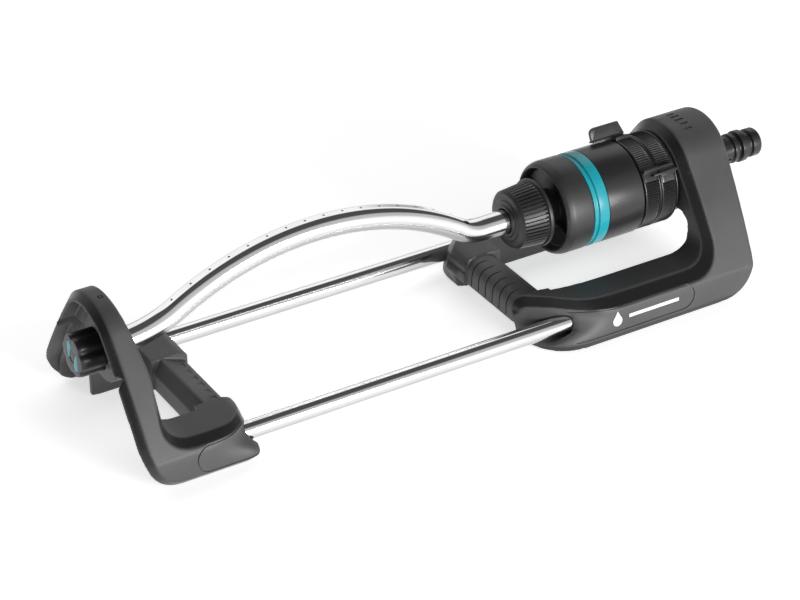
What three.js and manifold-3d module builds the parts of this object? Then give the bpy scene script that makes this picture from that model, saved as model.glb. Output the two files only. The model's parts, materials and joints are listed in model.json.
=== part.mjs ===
// Oscillating lawn sprinkler, in millimetres, +Z up.
// +X runs along the spray axis from the end knob to the hose connector, -Y is the near side.
// The object rests on z = 0, and the origin is below the middle of its bounding box.
import * as THREE from 'three';
import { mergeVertices } from 'three/addons/utils/BufferGeometryUtils.js';
import Module from 'manifold-3d';

const wasm = await Module();
wasm.setup();

// ---------------------------------------------------------------- driving dimensions
const GAP = 0.3;                 // clearance kept between neighbouring pieces
const AXIS_Z = 57.3;             // height of the spray axis
const FRAME_TUBE_Y = 52.8;       // the two frame tubes lie at +/- this
const FRAME_TUBE_Z = 12.3;
const FRAME_TUBE_R = 5.5;
const FRAME_TUBE_WALL = 1;
const FRAME_TUBE_X = [-190, 86];

const ARCH = {                   // outline of both arches, y and z
  radius: 32.6,
  centreZ: 58.7,
  from: THREE.MathUtils.degToRad(38),
  bow: [50.8, 46.7],
  knee: [66.2, 20],
  soft: 5,
};
const STRAP = 9;                 // thickness of the front arch
const FOOT_Y = 68;               // half width over both feet
const FOOT_INNER_Y = 38;         // inner face of each foot beam
const BEAM_TOP = 25.5;           // top edge of the outer skin of a beam
const PLATE_INSET = 8;           // width of the rim around the sunk top of a beam
const PLATE_SINK = 1.5;          // how far the top is sunk below the rim

const SPRAY_R = 7.25;            // spray tube, outside
const SPRAY_BORE = 6.2;
const SPRAY_CREST = [-80, 91.2]; // top of the arched centreline, x and z
const SPRAY_ARC_R = 172.7;
const SPRAY_BEND_R = [76, 28];   // bends back to the axis at the knob end and at the gear end
const SPRAY_END_X = [-215.4, 68];
const NOZZLE_COUNT = 16;
const NOZZLE_PITCH = 11.6;
const NOZZLE_HOLE_R = 0.7;

const BARREL_R = 28.6;           // gear housing
const BARREL_WALL = 2.2;
const BARREL_X = [74.5, 128.5];
const BAND_X = [92.8, 103];      // turquoise band between the two barrel shells
const HUB_NECK_R = 13.7;
const HUB_RING_R = 22.3;
const RING_R = 28.2;             // range rings
const RING_FRONT_X = [129.7, 141.2];
const RING_REAR_X = [141.6, 153.4];
const HUB_BODY_R = 19.7;

const NIPPLE_RISE = 2;           // the hose nipple stands this far above the spray axis

const KNOB_R = 12.5;
const KNOB_X = [-231.5, -216];

const GEAR_MODULE = 0.8;
const SUN_TEETH = 38;
const OUTPUT_PINION_TEETH = 10;
const OUTPUT_GEAR_TEETH = 14;
const COMPOUND_PINION_TEETH = 8;
const COMPOUND_GEAR_TEETH = 21;
const TURBINE_PINION_TEETH = 10;
const MESH_GAP = 0.35;           // added to every gear centre distance

// ---------------------------------------------------------------- colours
const BLACK_GRAIN = { color: 0x3c3d3f, roughness: 0.7, metalness: 0 };
const BLACK_GLOSS = { color: 0x1b1b1c, roughness: 0.38, metalness: 0 };
const BLACK_SATIN = { color: 0x242425, roughness: 0.5, metalness: 0 };
const TURQUOISE = { color: 0x18a9bb, roughness: 0.35, metalness: 0 };
const ALUMINIUM = { color: 0xd6d8da, roughness: 0.16, metalness: 1 };
const STEEL = { color: 0xb4b6b8, roughness: 0.3, metalness: 1 };
const RUBBER = { color: 0x161616, roughness: 0.85, metalness: 0 };
const WHITE_GEAR = { color: 0xe6e4dc, roughness: 0.45, metalness: 0 };
const GREY_GEAR = { color: 0x8f9396, roughness: 0.5, metalness: 0 };

// ---------------------------------------------------------------- solids and booleans
function signedVolume(geometry) {
  const p = geometry.attributes.position;
  const index = geometry.index;
  const corner = (k) => new THREE.Vector3().fromBufferAttribute(p, index ? index.getX(k) : k);
  const count = index ? index.count : p.count;
  let sum = 0;
  for (let k = 0; k < count; k += 3) {
    sum += corner(k).dot(corner(k + 1).cross(corner(k + 2)));
  }
  return sum / 6;
}

function solid(geometry) {
  const bare = geometry.clone();
  bare.deleteAttribute('normal');
  bare.deleteAttribute('uv');
  const welded = mergeVertices(bare, 1e-4);
  const triangles = Uint32Array.from(welded.index.array);
  if (signedVolume(welded) < 0) {
    for (let k = 0; k < triangles.length; k += 3) {
      [triangles[k], triangles[k + 1]] = [triangles[k + 1], triangles[k]];
    }
  }
  const kept = [];
  for (let k = 0; k < triangles.length; k += 3) {
    const [a, b, c] = triangles.slice(k, k + 3);
    if (a !== b && b !== c && a !== c) {
      kept.push(a, b, c);
    }
  }
  const mesh = new wasm.Mesh({
    numProp: 3,
    vertProperties: Float32Array.from(welded.attributes.position.array),
    triVerts: Uint32Array.from(kept),
  });
  mesh.merge();
  return new wasm.Manifold(mesh);
}

function toGeometry(body) {
  const mesh = body.getMesh();
  const geometry = new THREE.BufferGeometry();
  geometry.setAttribute('position', new THREE.BufferAttribute(mesh.vertProperties, 3));
  geometry.setIndex(new THREE.BufferAttribute(mesh.triVerts, 1));
  const flat = geometry.toNonIndexed();
  flat.computeVertexNormals();
  return flat;
}

const join = (first, ...rest) => rest.reduce((whole, body) => whole.add(body), first);
const cut = (first, ...tools) => tools.reduce((whole, tool) => whole.subtract(tool), first);

// ---------------------------------------------------------------- shape makers
// A block between two corners.
function block(x, y, z) {
  const geometry = new THREE.BoxGeometry(x[1] - x[0], y[1] - y[0], z[1] - z[0]);
  geometry.translate((x[0] + x[1]) / 2, (y[0] + y[1]) / 2, (z[0] + z[1]) / 2);
  return solid(geometry);
}

// A (y, z) outline pulled along X.
function alongX(shape, x, curveSegments = 5) {
  const geometry = new THREE.ExtrudeGeometry(shape, {
    depth: x[1] - x[0],
    bevelEnabled: false,
    curveSegments,
  });
  const turn = new THREE.Matrix4().makeBasis(
    new THREE.Vector3(0, 1, 0),
    new THREE.Vector3(0, 0, 1),
    new THREE.Vector3(1, 0, 0),
  );
  geometry.applyMatrix4(turn);
  geometry.translate(x[0], 0, 0);
  return solid(geometry);
}

// An (x, z) outline pulled along Y.
function alongY(shape, y, curveSegments = 5) {
  const geometry = new THREE.ExtrudeGeometry(shape, {
    depth: y[1] - y[0],
    bevelEnabled: false,
    curveSegments,
  });
  geometry.rotateX(Math.PI / 2);
  geometry.translate(0, y[1], 0);
  return solid(geometry);
}

// An (x, y) outline pulled along Z.
function alongZ(shape, z, curveSegments = 5) {
  const geometry = new THREE.ExtrudeGeometry(shape, {
    depth: z[1] - z[0],
    bevelEnabled: false,
    curveSegments,
  });
  geometry.translate(0, 0, z[0]);
  return solid(geometry);
}

function polygon(points) {
  return new THREE.Shape(points.map(([a, b]) => new THREE.Vector2(a, b)));
}

// A closed [x, radius] profile turned about an axis parallel to X.
function turned(profile, { segments = 32, y = 0, z = AXIS_Z } = {}) {
  const onAxis = profile[0][1] === 0;
  const points = profile.map(([x, r]) => new THREE.Vector2(r, x));
  if (!onAxis) {
    points.push(points[0].clone());
  }
  const geometry = new THREE.LatheGeometry(points, segments);
  geometry.rotateZ(-Math.PI / 2);
  geometry.translate(0, y, z);
  return solid(geometry);
}

function rod(x, radius, options) {
  return turned([[x[0], 0], [x[0], radius], [x[1], radius], [x[1], 0]], options);
}

function pipe(x, inner, outer, options) {
  return turned([[x[0], inner], [x[0], outer], [x[1], outer], [x[1], inner]], options);
}

// A place on a circle about the spray axis; the angle runs from the top to the near side.
function around(radius, degrees) {
  const a = THREE.MathUtils.degToRad(degrees);
  return { y: -radius * Math.sin(a), z: AXIS_Z + radius * Math.cos(a) };
}

// Turns a solid about the spray axis, top towards the near side.
function swung(body, degrees) {
  return body.translate([0, 0, -AXIS_Z]).rotate([degrees, 0, 0]).translate([0, 0, AXIS_Z]);
}

// Copies of one solid spread evenly about the spray axis.
function spread(body, count, start = 0) {
  const copies = [];
  for (let k = 0; k < count; k += 1) {
    copies.push(swung(body, start + (360 * k) / count));
  }
  return copies;
}

const part = new THREE.Group();

function add(name, body, look) {
  const mesh = new THREE.Mesh(toGeometry(body), new THREE.MeshStandardMaterial(look));
  mesh.name = name;
  part.add(mesh);
}

// ---------------------------------------------------------------- frame mouldings
// Cross section shared by both end pieces: a round hood over legs that bow out to the feet.
function archOutline(inset, floor = 0) {
  const { radius, centreZ, from, bow, knee, soft } = ARCH;
  const inwards = (point, angle) => [
    point[0] - inset * Math.cos(angle),
    point[1] - inset * Math.sin(angle),
  ];
  const top = [
    (radius - inset) * Math.cos(from),
    centreZ + (radius - inset) * Math.sin(from),
  ];
  const [bowY, bowZ] = inwards(bow, from);
  const [kneeY, kneeZ] = inwards(knee, from);
  const foot = FOOT_Y - inset;
  const shape = new THREE.Shape();
  shape.moveTo(-foot + soft, floor);
  shape.lineTo(foot - soft, floor);
  shape.quadraticCurveTo(foot, floor, foot, floor + soft);
  shape.quadraticCurveTo(foot, kneeZ - soft, kneeY, kneeZ);
  shape.quadraticCurveTo(bowY, bowZ, top[0], top[1]);
  shape.absarc(0, centreZ, radius - inset, from, Math.PI - from, false);
  shape.quadraticCurveTo(-bowY, bowZ, -kneeY, kneeZ);
  shape.quadraticCurveTo(-foot, kneeZ - soft, -foot, floor + soft);
  shape.quadraticCurveTo(-foot, floor, -foot + soft, floor);
  return shape;
}

// Plan view of both feet of one end piece: square at the arch end, rounded at the nose end.
function feetPlan(archX, noseX, cornerX, cornerY) {
  const shape = new THREE.Shape();
  shape.moveTo(archX, -FOOT_Y - 1);
  shape.lineTo(noseX + cornerX, -FOOT_Y - 1);
  shape.quadraticCurveTo(noseX, -FOOT_Y, noseX, -FOOT_Y + cornerY);
  shape.lineTo(noseX, FOOT_Y - cornerY);
  shape.quadraticCurveTo(noseX, FOOT_Y, noseX + cornerX, FOOT_Y + 1);
  shape.lineTo(archX, FOOT_Y + 1);
  return shape;
}

// Side view of the front foot; a negative lift gives the sunk top inside the rim.
function frontSide(lift) {
  const shape = new THREE.Shape();
  shape.moveTo(-203, 0);
  shape.quadraticCurveTo(-221, 0, -222, 22);
  shape.lineTo(-223.6, 96);
  shape.lineTo(-210.6 + lift, 96);
  shape.lineTo(-205 + lift / 2, 62);
  shape.lineTo(-205 + lift / 2, 38 + lift);
  shape.quadraticCurveTo(-205 + lift / 2, BEAM_TOP + lift, -190, BEAM_TOP + lift);
  shape.lineTo(-164, BEAM_TOP + lift);
  shape.quadraticCurveTo(-149, BEAM_TOP + lift - 2, -148.6, 8);
  shape.quadraticCurveTo(-148.6, 0, -158, 0);
  return shape;
}

// Side view of the rear frame, from the nose back to the upright.
function rearSide(lift) {
  const shape = new THREE.Shape();
  shape.moveTo(50, 0);
  shape.lineTo(158, 0);
  shape.quadraticCurveTo(182, 0, 184.6, 24);
  shape.lineTo(190.4, 96);
  shape.lineTo(155 - lift / 2, 96);
  shape.lineTo(155 - lift / 2, 40);
  shape.quadraticCurveTo(155 - lift / 2, BEAM_TOP + lift, 140, BEAM_TOP + lift);
  shape.lineTo(64, BEAM_TOP + lift);
  shape.quadraticCurveTo(50, BEAM_TOP + lift, 42, 30.5 + lift / 2);
  shape.quadraticCurveTo(36, 31, 33, 24);
  shape.lineTo(29, 13);
  shape.quadraticCurveTo(28, 2, 50, 0);
  return shape;
}

// A hole for the tube, with a flare that opens on the outer side of the nose.
function tubeSocket(side, x, mouth, flareLength) {
  const y = side * FRAME_TUBE_Y;
  const hole = rod(x, FRAME_TUBE_R + GAP, { segments: 24, y, z: FRAME_TUBE_Z });
  const deep = mouth + flareLength;
  const flare = turned(
    [[mouth, 0], [mouth, 12], [deep, FRAME_TUBE_R + GAP], [deep, 0]],
    { segments: 24, y: side * (FRAME_TUBE_Y + 4), z: FRAME_TUBE_Z },
  );
  return [hole, flare];
}

const SCREW_X = { front: -180, rear: 74 };
const SCREW_HEAD = { r: 3.4, z: [0.8, 3.2] };
const SCREW_SHANK = { r: 1.7, top: 12 };

function upright(x, y, z, radius, segments = 16) {
  const geometry = new THREE.CylinderGeometry(radius, radius, z[1] - z[0], segments);
  geometry.rotateX(Math.PI / 2);
  geometry.translate(x, y, (z[0] + z[1]) / 2);
  return solid(geometry);
}

function screwHole(x, side) {
  const y = side * FRAME_TUBE_Y;
  return join(
    upright(x, y, [-1, SCREW_HEAD.z[1] + GAP], SCREW_HEAD.r + GAP),
    upright(x, y, [-1, SCREW_SHANK.top], SCREW_SHANK.r + GAP),
  );
}

function frontFoot() {
  const x = [-224, -148];
  const plan = alongZ(feetPlan(-230, -148, -14, 15), [-1, 100]);
  const skin = alongX(archOutline(0), x).intersect(alongY(frontSide(0), [-80, 80]));
  const sink = alongX(archOutline(PLATE_INSET), [-205.5, -140])
    .subtract(alongY(frontSide(-PLATE_SINK), [-80, 80]));
  const whole = skin.subtract(sink).intersect(plan);

  const underArch = alongX(archOutline(STRAP, -10), [-230, -205])
    .intersect(block([-230, -204], [-70, 70], [-5, 38]));
  const betweenBeams = block([-205.5, -140], [-FOOT_INNER_Y, FOOT_INNER_Y], [-1, 60]);
  const hollows = [-1, 1].map((side) => block(
    [-206, -193],
    [Math.min(side * 41.5, side * 60), Math.max(side * 41.5, side * 60)],
    [-1, 19],
  ));
  const faceWell = join(
    alongX(archOutline(STRAP - 1), [-230, -214])
      .intersect(block([-230, -200], [-60, 60], [52, 100])),
    rod([-230, -214], 19),
  );
  const opened = cut(whole, underArch, betweenBeams, faceWell, ...hollows);

  const crossbar = alongY(
    polygon([
      [-175, 6], [-175, 26], [-172.5, 28.4], [-169, 28.4],
      [-157, 22.5], [-155, 19], [-155, 6],
    ]),
    [-FOOT_INNER_Y - 1, FOOT_INNER_Y + 1],
  );
  const boss = pipe([-214, -205], 9, 20);
  const rearWell = rod([-208, -190], 16);
  const bore = rod([-230, -190], 9.6);
  const sockets = [-1, 1].flatMap((side) => [
    ...tubeSocket(side, [FRAME_TUBE_X[0] - 1.5, -140], -144, -16),
    screwHole(SCREW_X.front, side),
  ]);
  return cut(join(opened, crossbar, boss), rearWell, bore, ...sockets);
}

function rearFrame() {
  const x = [27, 191];
  const plan = alongZ(feetPlan(195, 27, 30, 27), [-1, 100]);
  const skin = alongX(archOutline(0), x).intersect(alongY(rearSide(0), [-80, 80]));
  const sink = alongX(archOutline(PLATE_INSET), [50, 170])
    .subtract(alongY(rearSide(-PLATE_SINK), [-80, 80]));
  const whole = skin.subtract(sink).intersect(plan);
  const underHood = alongX(
    polygon([
      [-38, -1], [-38, 30], [-35.5, 43], [-30, 46.5], [30, 46.5], [35.5, 43], [38, 30], [38, -1],
    ]),
    [140, 200],
  ).subtract(rod([130, 210], HUB_BODY_R + 4.3));
  const betweenBeams = block([20, 153.7], [-FOOT_INNER_Y, FOOT_INNER_Y], [-1, 60]);
  const crossbar = alongY(
    polygon([[30, 12], [30, 26], [33, 28.6], [46, 28.6], [52.5, 25], [54, 21], [54, 12]]),
    [-FOOT_INNER_Y - 1, FOOT_INNER_Y + 1],
  );
  const hubBore = rod([140, 183], HUB_BODY_R + 0.4);
  const rearBore = rod([170, 200], 17.2);
  const sockets = [-1, 1].flatMap((side) => [
    ...tubeSocket(side, [20, FRAME_TUBE_X[1] + 1.5], 24, 30),
    screwHole(SCREW_X.rear, side),
  ]);
  return cut(join(cut(whole, underHood, betweenBeams), crossbar), hubBore, rearBore, ...sockets);
}

add('front_foot', frontFoot(), BLACK_GRAIN);
add('rear_frame', rearFrame(), BLACK_GRAIN);

// ---------------------------------------------------------------- frame tubes and their screws
const SIDES = { near: -1, far: 1 };
for (const [sideName, side] of Object.entries(SIDES)) {
  const y = side * FRAME_TUBE_Y;
  const inner = FRAME_TUBE_R - FRAME_TUBE_WALL;
  const tube = pipe(FRAME_TUBE_X, inner, FRAME_TUBE_R, { segments: 28, y, z: FRAME_TUBE_Z });
  const holes = Object.values(SCREW_X).map((x) =>
    upright(x, y, [0, FRAME_TUBE_Z], SCREW_SHANK.r + GAP));
  add(`frame_tube_${sideName}`, cut(tube, ...holes), ALUMINIUM);
  for (const [endName, x] of Object.entries(SCREW_X)) {
    const slot = block([x - 3, x + 3], [y - 0.5, y + 0.5], [0, 1.7]);
    const crossSlot = block([x - 0.5, x + 0.5], [y - 3, y + 3], [0, 1.7]);
    const screw = join(
      upright(x, y, SCREW_HEAD.z, SCREW_HEAD.r),
      upright(x, y, [SCREW_HEAD.z[0] + 1, SCREW_SHANK.top - 1], SCREW_SHANK.r),
    );
    add(`frame_screw_${endName}_${sideName}`, cut(screw, slot, crossSlot), STEEL);
  }
}

// ---------------------------------------------------------------- spray tube
// Centreline in the XZ plane: along the axis, a bend up, the long arc, a bend back to the axis.
class SprayPath extends THREE.Curve {
  constructor() {
    super();
    const arcX = SPRAY_CREST[0];
    const arcZ = SPRAY_CREST[1] - SPRAY_ARC_R;
    const bend = (radius, way) => {
      const reach = SPRAY_ARC_R + radius;
      const rise = AXIS_Z + radius - arcZ;
      const run = Math.sqrt(reach * reach - rise * rise);
      return { x: arcX + way * run, z: AXIS_Z + radius, radius, turn: Math.atan2(run, rise) };
    };
    const front = bend(SPRAY_BEND_R[0], -1);
    const rear = bend(SPRAY_BEND_R[1], 1);
    this.pieces = [
      { length: front.x - SPRAY_END_X[0], at: (s) => [SPRAY_END_X[0] + s, AXIS_Z] },
      {
        length: front.radius * front.turn,
        at: (s) => {
          const a = s / front.radius;
          return [front.x + front.radius * Math.sin(a), front.z - front.radius * Math.cos(a)];
        },
      },
      {
        length: SPRAY_ARC_R * (front.turn + rear.turn),
        at: (s) => {
          const a = s / SPRAY_ARC_R - front.turn;
          return [arcX + SPRAY_ARC_R * Math.sin(a), arcZ + SPRAY_ARC_R * Math.cos(a)];
        },
      },
      {
        length: rear.radius * rear.turn,
        at: (s) => {
          const a = s / rear.radius - rear.turn;
          return [rear.x + rear.radius * Math.sin(a), rear.z - rear.radius * Math.cos(a)];
        },
      },
      { length: SPRAY_END_X[1] - rear.x, at: (s) => [rear.x + s, AXIS_Z] },
    ];
    this.whole = this.pieces.reduce((sum, piece) => sum + piece.length, 0);
  }

  getPoint(t, target = new THREE.Vector3()) {
    let s = t * this.whole;
    let index = 0;
    while (index < this.pieces.length - 1 && s > this.pieces[index].length) {
      s -= this.pieces[index].length;
      index += 1;
    }
    const [x, z] = this.pieces[index].at(s);
    return target.set(x, 0, z);
  }
}

// Round section with a flat along its top, which is the shape's -x side.
function sprayOutline(radius, flatAt, count) {
  const outline = [];
  for (let k = 0; k < count; k += 1) {
    const a = (2 * Math.PI * (k + 0.5)) / count;
    outline.push(new THREE.Vector2(Math.max(radius * Math.cos(a), -flatAt), radius * Math.sin(a)));
  }
  return outline;
}

function sprayTube() {
  const section = new THREE.Shape(sprayOutline(SPRAY_R, 6.9, 16));
  const tube = new THREE.ExtrudeGeometry(section, {
    steps: 36,
    bevelEnabled: false,
    extrudePath: new SprayPath(),
  });
  const inside = new THREE.ExtrudeGeometry(new THREE.Shape(sprayOutline(SPRAY_BORE, 5.9, 10)), {
    steps: 36,
    bevelEnabled: false,
    extrudePath: new SprayPath(),
  });
  const straightEnd = rod([SPRAY_END_X[0] - 1, SPRAY_END_X[0] + 12], SPRAY_BORE, { segments: 10 });
  const farEnd = rod([SPRAY_END_X[1] - 12, SPRAY_END_X[1] + 1], SPRAY_BORE, { segments: 10 });
  return cut(solid(tube), solid(inside), straightEnd, farEnd, ...nozzlePins(NOZZLE_HOLE_R, 10));
}

// One short cylinder per nozzle, square to the arc, through the top wall of the tube.
function nozzlePins(radius, length, dip = 3) {
  const pins = [];
  const centreZ = SPRAY_CREST[1] - SPRAY_ARC_R;
  for (let k = 0; k < NOZZLE_COUNT; k += 1) {
    const x = (k - (NOZZLE_COUNT - 1) / 2) * NOZZLE_PITCH;
    const lean = Math.asin(x / SPRAY_ARC_R);
    const pin = new THREE.CylinderGeometry(radius, radius, length, 6);
    pin.rotateX(Math.PI / 2);
    pin.translate(0, 0, SPRAY_ARC_R + dip + length / 2);
    pin.rotateY(lean);
    pin.translate(SPRAY_CREST[0], 0, centreZ);
    pins.push(solid(pin));
  }
  return pins;
}

add('spray_tube', sprayTube(), ALUMINIUM);

// ---------------------------------------------------------------- knob end of the spray tube
// Flanged bearing bush that the spray tube turns in.
add('front_bush', turned([
  [-213.8, SPRAY_R + GAP], [-213.8, 9.3], [-207.7, 9.3], [-207.7, 12],
  [-205.9, 12], [-205.9, SPRAY_R + GAP],
], { segments: 32 }), WHITE_GEAR);

// Plug in the end of the tube, with a groove for its seal.
const PLUG_R = SPRAY_BORE - 2 * GAP;
add('end_plug', turned([
  [-215.2, 3.5], [-215.2, PLUG_R], [-209.6, PLUG_R], [-209.6, 4.9], [-207.2, 4.9],
  [-207.2, PLUG_R], [-203.4, PLUG_R], [-203.4, 3.5],
], { segments: 24 }), BLACK_SATIN);
add('end_plug_seal', pipe([-209.3, -207.5], 5.15, 5.65, { segments: 24 }), RUBBER);

// Hand knob: a six-lobed cap on a stem, with two inserts let into its face.
function lobedOutline(radius, depth, lobes, count) {
  const points = [];
  for (let k = 0; k < count; k += 1) {
    const a = (2 * Math.PI * k) / count;
    const r = radius - depth * Math.pow(0.5 + 0.5 * Math.cos(lobes * a), 3);
    points.push([r * Math.sin(a), AXIS_Z + r * Math.cos(a)]);
  }
  return polygon(points);
}

// A blade that is blunt at the rim and pointed towards the middle of the knob face.
function bladeOutline(grow) {
  return polygon([
    [-3.2 - grow, AXIS_Z + 8.2], [-2.2 - grow, AXIS_Z + 9.6 + grow], [0, AXIS_Z + 10 + grow],
    [2.2 + grow, AXIS_Z + 9.6 + grow], [3.2 + grow, AXIS_Z + 8.2],
    [0.5 + grow, AXIS_Z + 1.6 - grow], [-0.5 - grow, AXIS_Z + 1.6 - grow],
  ]);
}

const BLADE_TURNS = { upper: -35, lower: 145 };
const bladeBodies = (grow, x) => Object.fromEntries(
  Object.entries(BLADE_TURNS).map(([name, turn]) => [name, swung(alongX(bladeOutline(grow), x), turn)]),
);

function endKnob() {
  const cap = alongX(lobedOutline(KNOB_R, 1.5, 6, 72), KNOB_X).intersect(turned([
    [KNOB_X[0], 0], [KNOB_X[0], KNOB_R - 1.4], [KNOB_X[0] + 1.6, KNOB_R],
    [KNOB_X[1], KNOB_R], [KNOB_X[1], 0],
  ]));
  const stem = rod([KNOB_X[1] - 1, -205], 3.2, { segments: 20 });
  const needleHole = rod([-222, -200], 1, { segments: 12 });
  const pockets = Object.values(bladeBodies(GAP, [KNOB_X[0] - 1, KNOB_X[0] + 1.8]));
  return cut(join(cap, stem), needleHole, ...pockets);
}

add('end_knob', endKnob(), BLACK_GLOSS);
for (const [name, body] of Object.entries(bladeBodies(0, [KNOB_X[0], KNOB_X[0] + 1.5]))) {
  add(`knob_insert_${name}`, body, TURQUOISE);
}
add('cleaning_needle', turned([
  [-221.6, 0], [-221.6, 0.6], [-199, 0.6], [-197, 0],
], { segments: 10 }), STEEL);

// ---------------------------------------------------------------- union nut and tube end
function unionNut() {
  const cone = turned([
    [50.2, 0], [50.2, 16.4], [51.6, 17.6], [66, 19.6], [66, 0],
  ], { segments: 44 });
  const groove = block([49, 65.2], [-0.55, 0.55], [AXIS_Z + 17.6, AXIS_Z + 25]);
  const face = turned([
    [47.6, 0], [47.6, 10.2], [48.8, 10.4], [48.8, 13.2], [50.4, 13.6], [50.4, 0],
  ], { segments: 28 });
  const flange = rod([65.8, 69.4], 20.6, { segments: 44 });
  const tubeHole = rod([40, 60], SPRAY_R + GAP, { segments: 32 });
  const thread = rod([53, 80], 12, { segments: 28 });
  return cut(join(cone, face, flange), tubeHole, thread, ...spread(groove, 36));
}

add('union_nut', unionNut(), BLACK_SATIN);
add('tube_ferrule', pipe([53.3, 61.6], SPRAY_R + GAP, 11.6, { segments: 32 }), WHITE_GEAR);
add('tube_seal', pipe([63.6, 65.6], SPRAY_R + 0.25, 8.25, { segments: 28 }), RUBBER);

// ---------------------------------------------------------------- gear housing
const INNER_R = BARREL_R - BARREL_WALL;

// Front shell: a threaded neck, a dished front with radial webs, and the first part of the barrel.
function barrelFront() {
  const shell = turned([
    [62, 8.6], [62, 11.6], [80, 11.6], [80, 24.6], [BARREL_X[0], 25.6], [BARREL_X[0], 26.8],
    [BARREL_X[0] + 2.2, BARREL_R], [BAND_X[0] - GAP, BARREL_R], [BAND_X[0] - GAP, INNER_R],
    [82.4, INNER_R], [82.4, 8.6],
  ], { segments: 32 });
  const web = block([BARREL_X[0] + 1, 80.5], [-0.7, 0.7], [AXIS_Z + 21, AXIS_Z + 25.4]);
  return join(shell, ...spread(web, 8, 20));
}

// Turquoise band with a deeper groove on its front side.
function trimBand() {
  return turned([
    [BAND_X[0], INNER_R], [BAND_X[0], BARREL_R - 0.9], [BAND_X[0] + 3.4, BARREL_R - 0.9],
    [BAND_X[0] + 3.6, BARREL_R], [BAND_X[1], BARREL_R], [BAND_X[1], INNER_R],
  ], { segments: 32 });
}

const LEVER_ANGLE = -130;        // where the reversing lever leaves the barrel
const LEVER_PIVOT_R = 18;

function barrelRear() {
  const shell = turned([
    [BAND_X[1] + GAP, INNER_R], [BAND_X[1] + GAP, BARREL_R], [BARREL_X[1] - 0.8, BARREL_R],
    [BARREL_X[1], BARREL_R - 0.8], [BARREL_X[1], HUB_NECK_R + 0.6], [125.6, HUB_NECK_R + 0.6],
    [125.6, INNER_R],
  ], { segments: 32 });
  const slot = block([119.4, 123.2], [-3.6, 3.6], [AXIS_Z + 20, AXIS_Z + 32]);
  return cut(shell, swung(slot, LEVER_ANGLE));
}

add('barrel_front_shell', barrelFront(), BLACK_SATIN);
add('trim_band', trimBand(), TURQUOISE);
add('barrel_rear_shell', barrelRear(), BLACK_GLOSS);

// ---------------------------------------------------------------- gear train
// Plain involute-like teeth: straight flanks between a root circle and a tip circle.
function gearOutline(teeth, y, z, phase) {
  const pitch = (GEAR_MODULE * teeth) / 2;
  const tip = pitch + 0.75 * GEAR_MODULE;
  const root = pitch - 1.05 * GEAR_MODULE;
  const points = [];
  for (let k = 0; k < teeth; k += 1) {
    for (const [share, r] of [[-0.27, root], [-0.11, tip], [0.11, tip], [0.27, root]]) {
      const a = phase + (2 * Math.PI * (k + share)) / teeth;
      points.push([y + r * Math.cos(a), z + r * Math.sin(a)]);
    }
  }
  return polygon(points);
}

const pitchRadius = (teeth) => (GEAR_MODULE * teeth) / 2;
const outputR = pitchRadius(SUN_TEETH) + pitchRadius(OUTPUT_PINION_TEETH) + MESH_GAP;
const compoundR = pitchRadius(TURBINE_PINION_TEETH) + pitchRadius(COMPOUND_GEAR_TEETH) + MESH_GAP;
const pairDistance =
  pitchRadius(COMPOUND_PINION_TEETH) + pitchRadius(OUTPUT_GEAR_TEETH) + MESH_GAP;
const pairAngle = THREE.MathUtils.radToDeg(Math.acos(
  (compoundR ** 2 + outputR ** 2 - pairDistance ** 2) / (2 * compoundR * outputR),
));
const OUTPUT_ANGLE = 40;
const outputAt = around(outputR, OUTPUT_ANGLE);
const compoundAt = around(compoundR, OUTPUT_ANGLE + pairAngle);
const axisAt = { y: 0, z: AXIS_Z };

// Direction from one gear centre to another, and the phase that puts a tooth or a gap on it.
const heading = (from, to) => Math.atan2(to.z - from.z, to.y - from.y);
const gapPhase = (direction, teeth) => direction + Math.PI / teeth;

function wheel(teeth, at, phase, x, bore) {
  const disc = alongX(gearOutline(teeth, at.y, at.z, phase), x);
  return bore ? cut(disc, rod([x[0] - 1, x[1] + 1], bore, { segments: 16, ...at })) : disc;
}

const PIN_R = 1.2;
const PIN_BORE = PIN_R + GAP;
const TURBINE_X = [86, 93];

// Turbine: a hub, a web and curved-flank blades between two rims.
function turbineRotor() {
  const hub = pipe(TURBINE_X, PIN_BORE, 4, { segments: 24 });
  const web = pipe([89, 90.4], 3.8, 13.2, { segments: 36 });
  const blade = block(TURBINE_X, [-0.6, 0.6], [AXIS_Z + 12.6, AXIS_Z + 18]);
  const rim = pipe([89, 90.4], 12.8, 16.4, { segments: 36 });
  return join(hub, web, rim, ...spread(blade, 10));
}

add('turbine_rotor', turbineRotor(), WHITE_GEAR);
add('turbine_shaft', rod([83.2, 103.6], PIN_R, { segments: 16 }), STEEL);
const towardsCompound = heading(axisAt, compoundAt);
add('turbine_pinion', wheel(
  TURBINE_PINION_TEETH, axisAt, towardsCompound, [98.4, 102.2], PIN_BORE,
), WHITE_GEAR);

const backToAxis = heading(compoundAt, axisAt);
function compoundGear() {
  const large = wheel(
    COMPOUND_GEAR_TEETH, compoundAt, gapPhase(backToAxis, COMPOUND_GEAR_TEETH), [98.4, 102], 0,
  );
  const small = wheel(
    COMPOUND_PINION_TEETH, compoundAt, heading(compoundAt, outputAt), [101.8, 108.4], 0,
  );
  return cut(join(large, small), rod([90, 110], PIN_BORE, { segments: 16, ...compoundAt }));
}
add('compound_gear', compoundGear(), WHITE_GEAR);
add('compound_pin', rod([95.2, 110.9], PIN_R, { segments: 16, ...compoundAt }), STEEL);

add('output_gear', wheel(
  OUTPUT_GEAR_TEETH, outputAt,
  gapPhase(heading(outputAt, compoundAt), OUTPUT_GEAR_TEETH), [104.2, 108.2], PIN_BORE,
), WHITE_GEAR);
add('output_shaft', rod([102.6, 119.6], PIN_R, { segments: 16, ...outputAt }), STEEL);
add('output_pinion', wheel(
  OUTPUT_PINION_TEETH, outputAt, heading(outputAt, axisAt), [113.4, 118.8], PIN_BORE,
), WHITE_GEAR);

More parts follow.
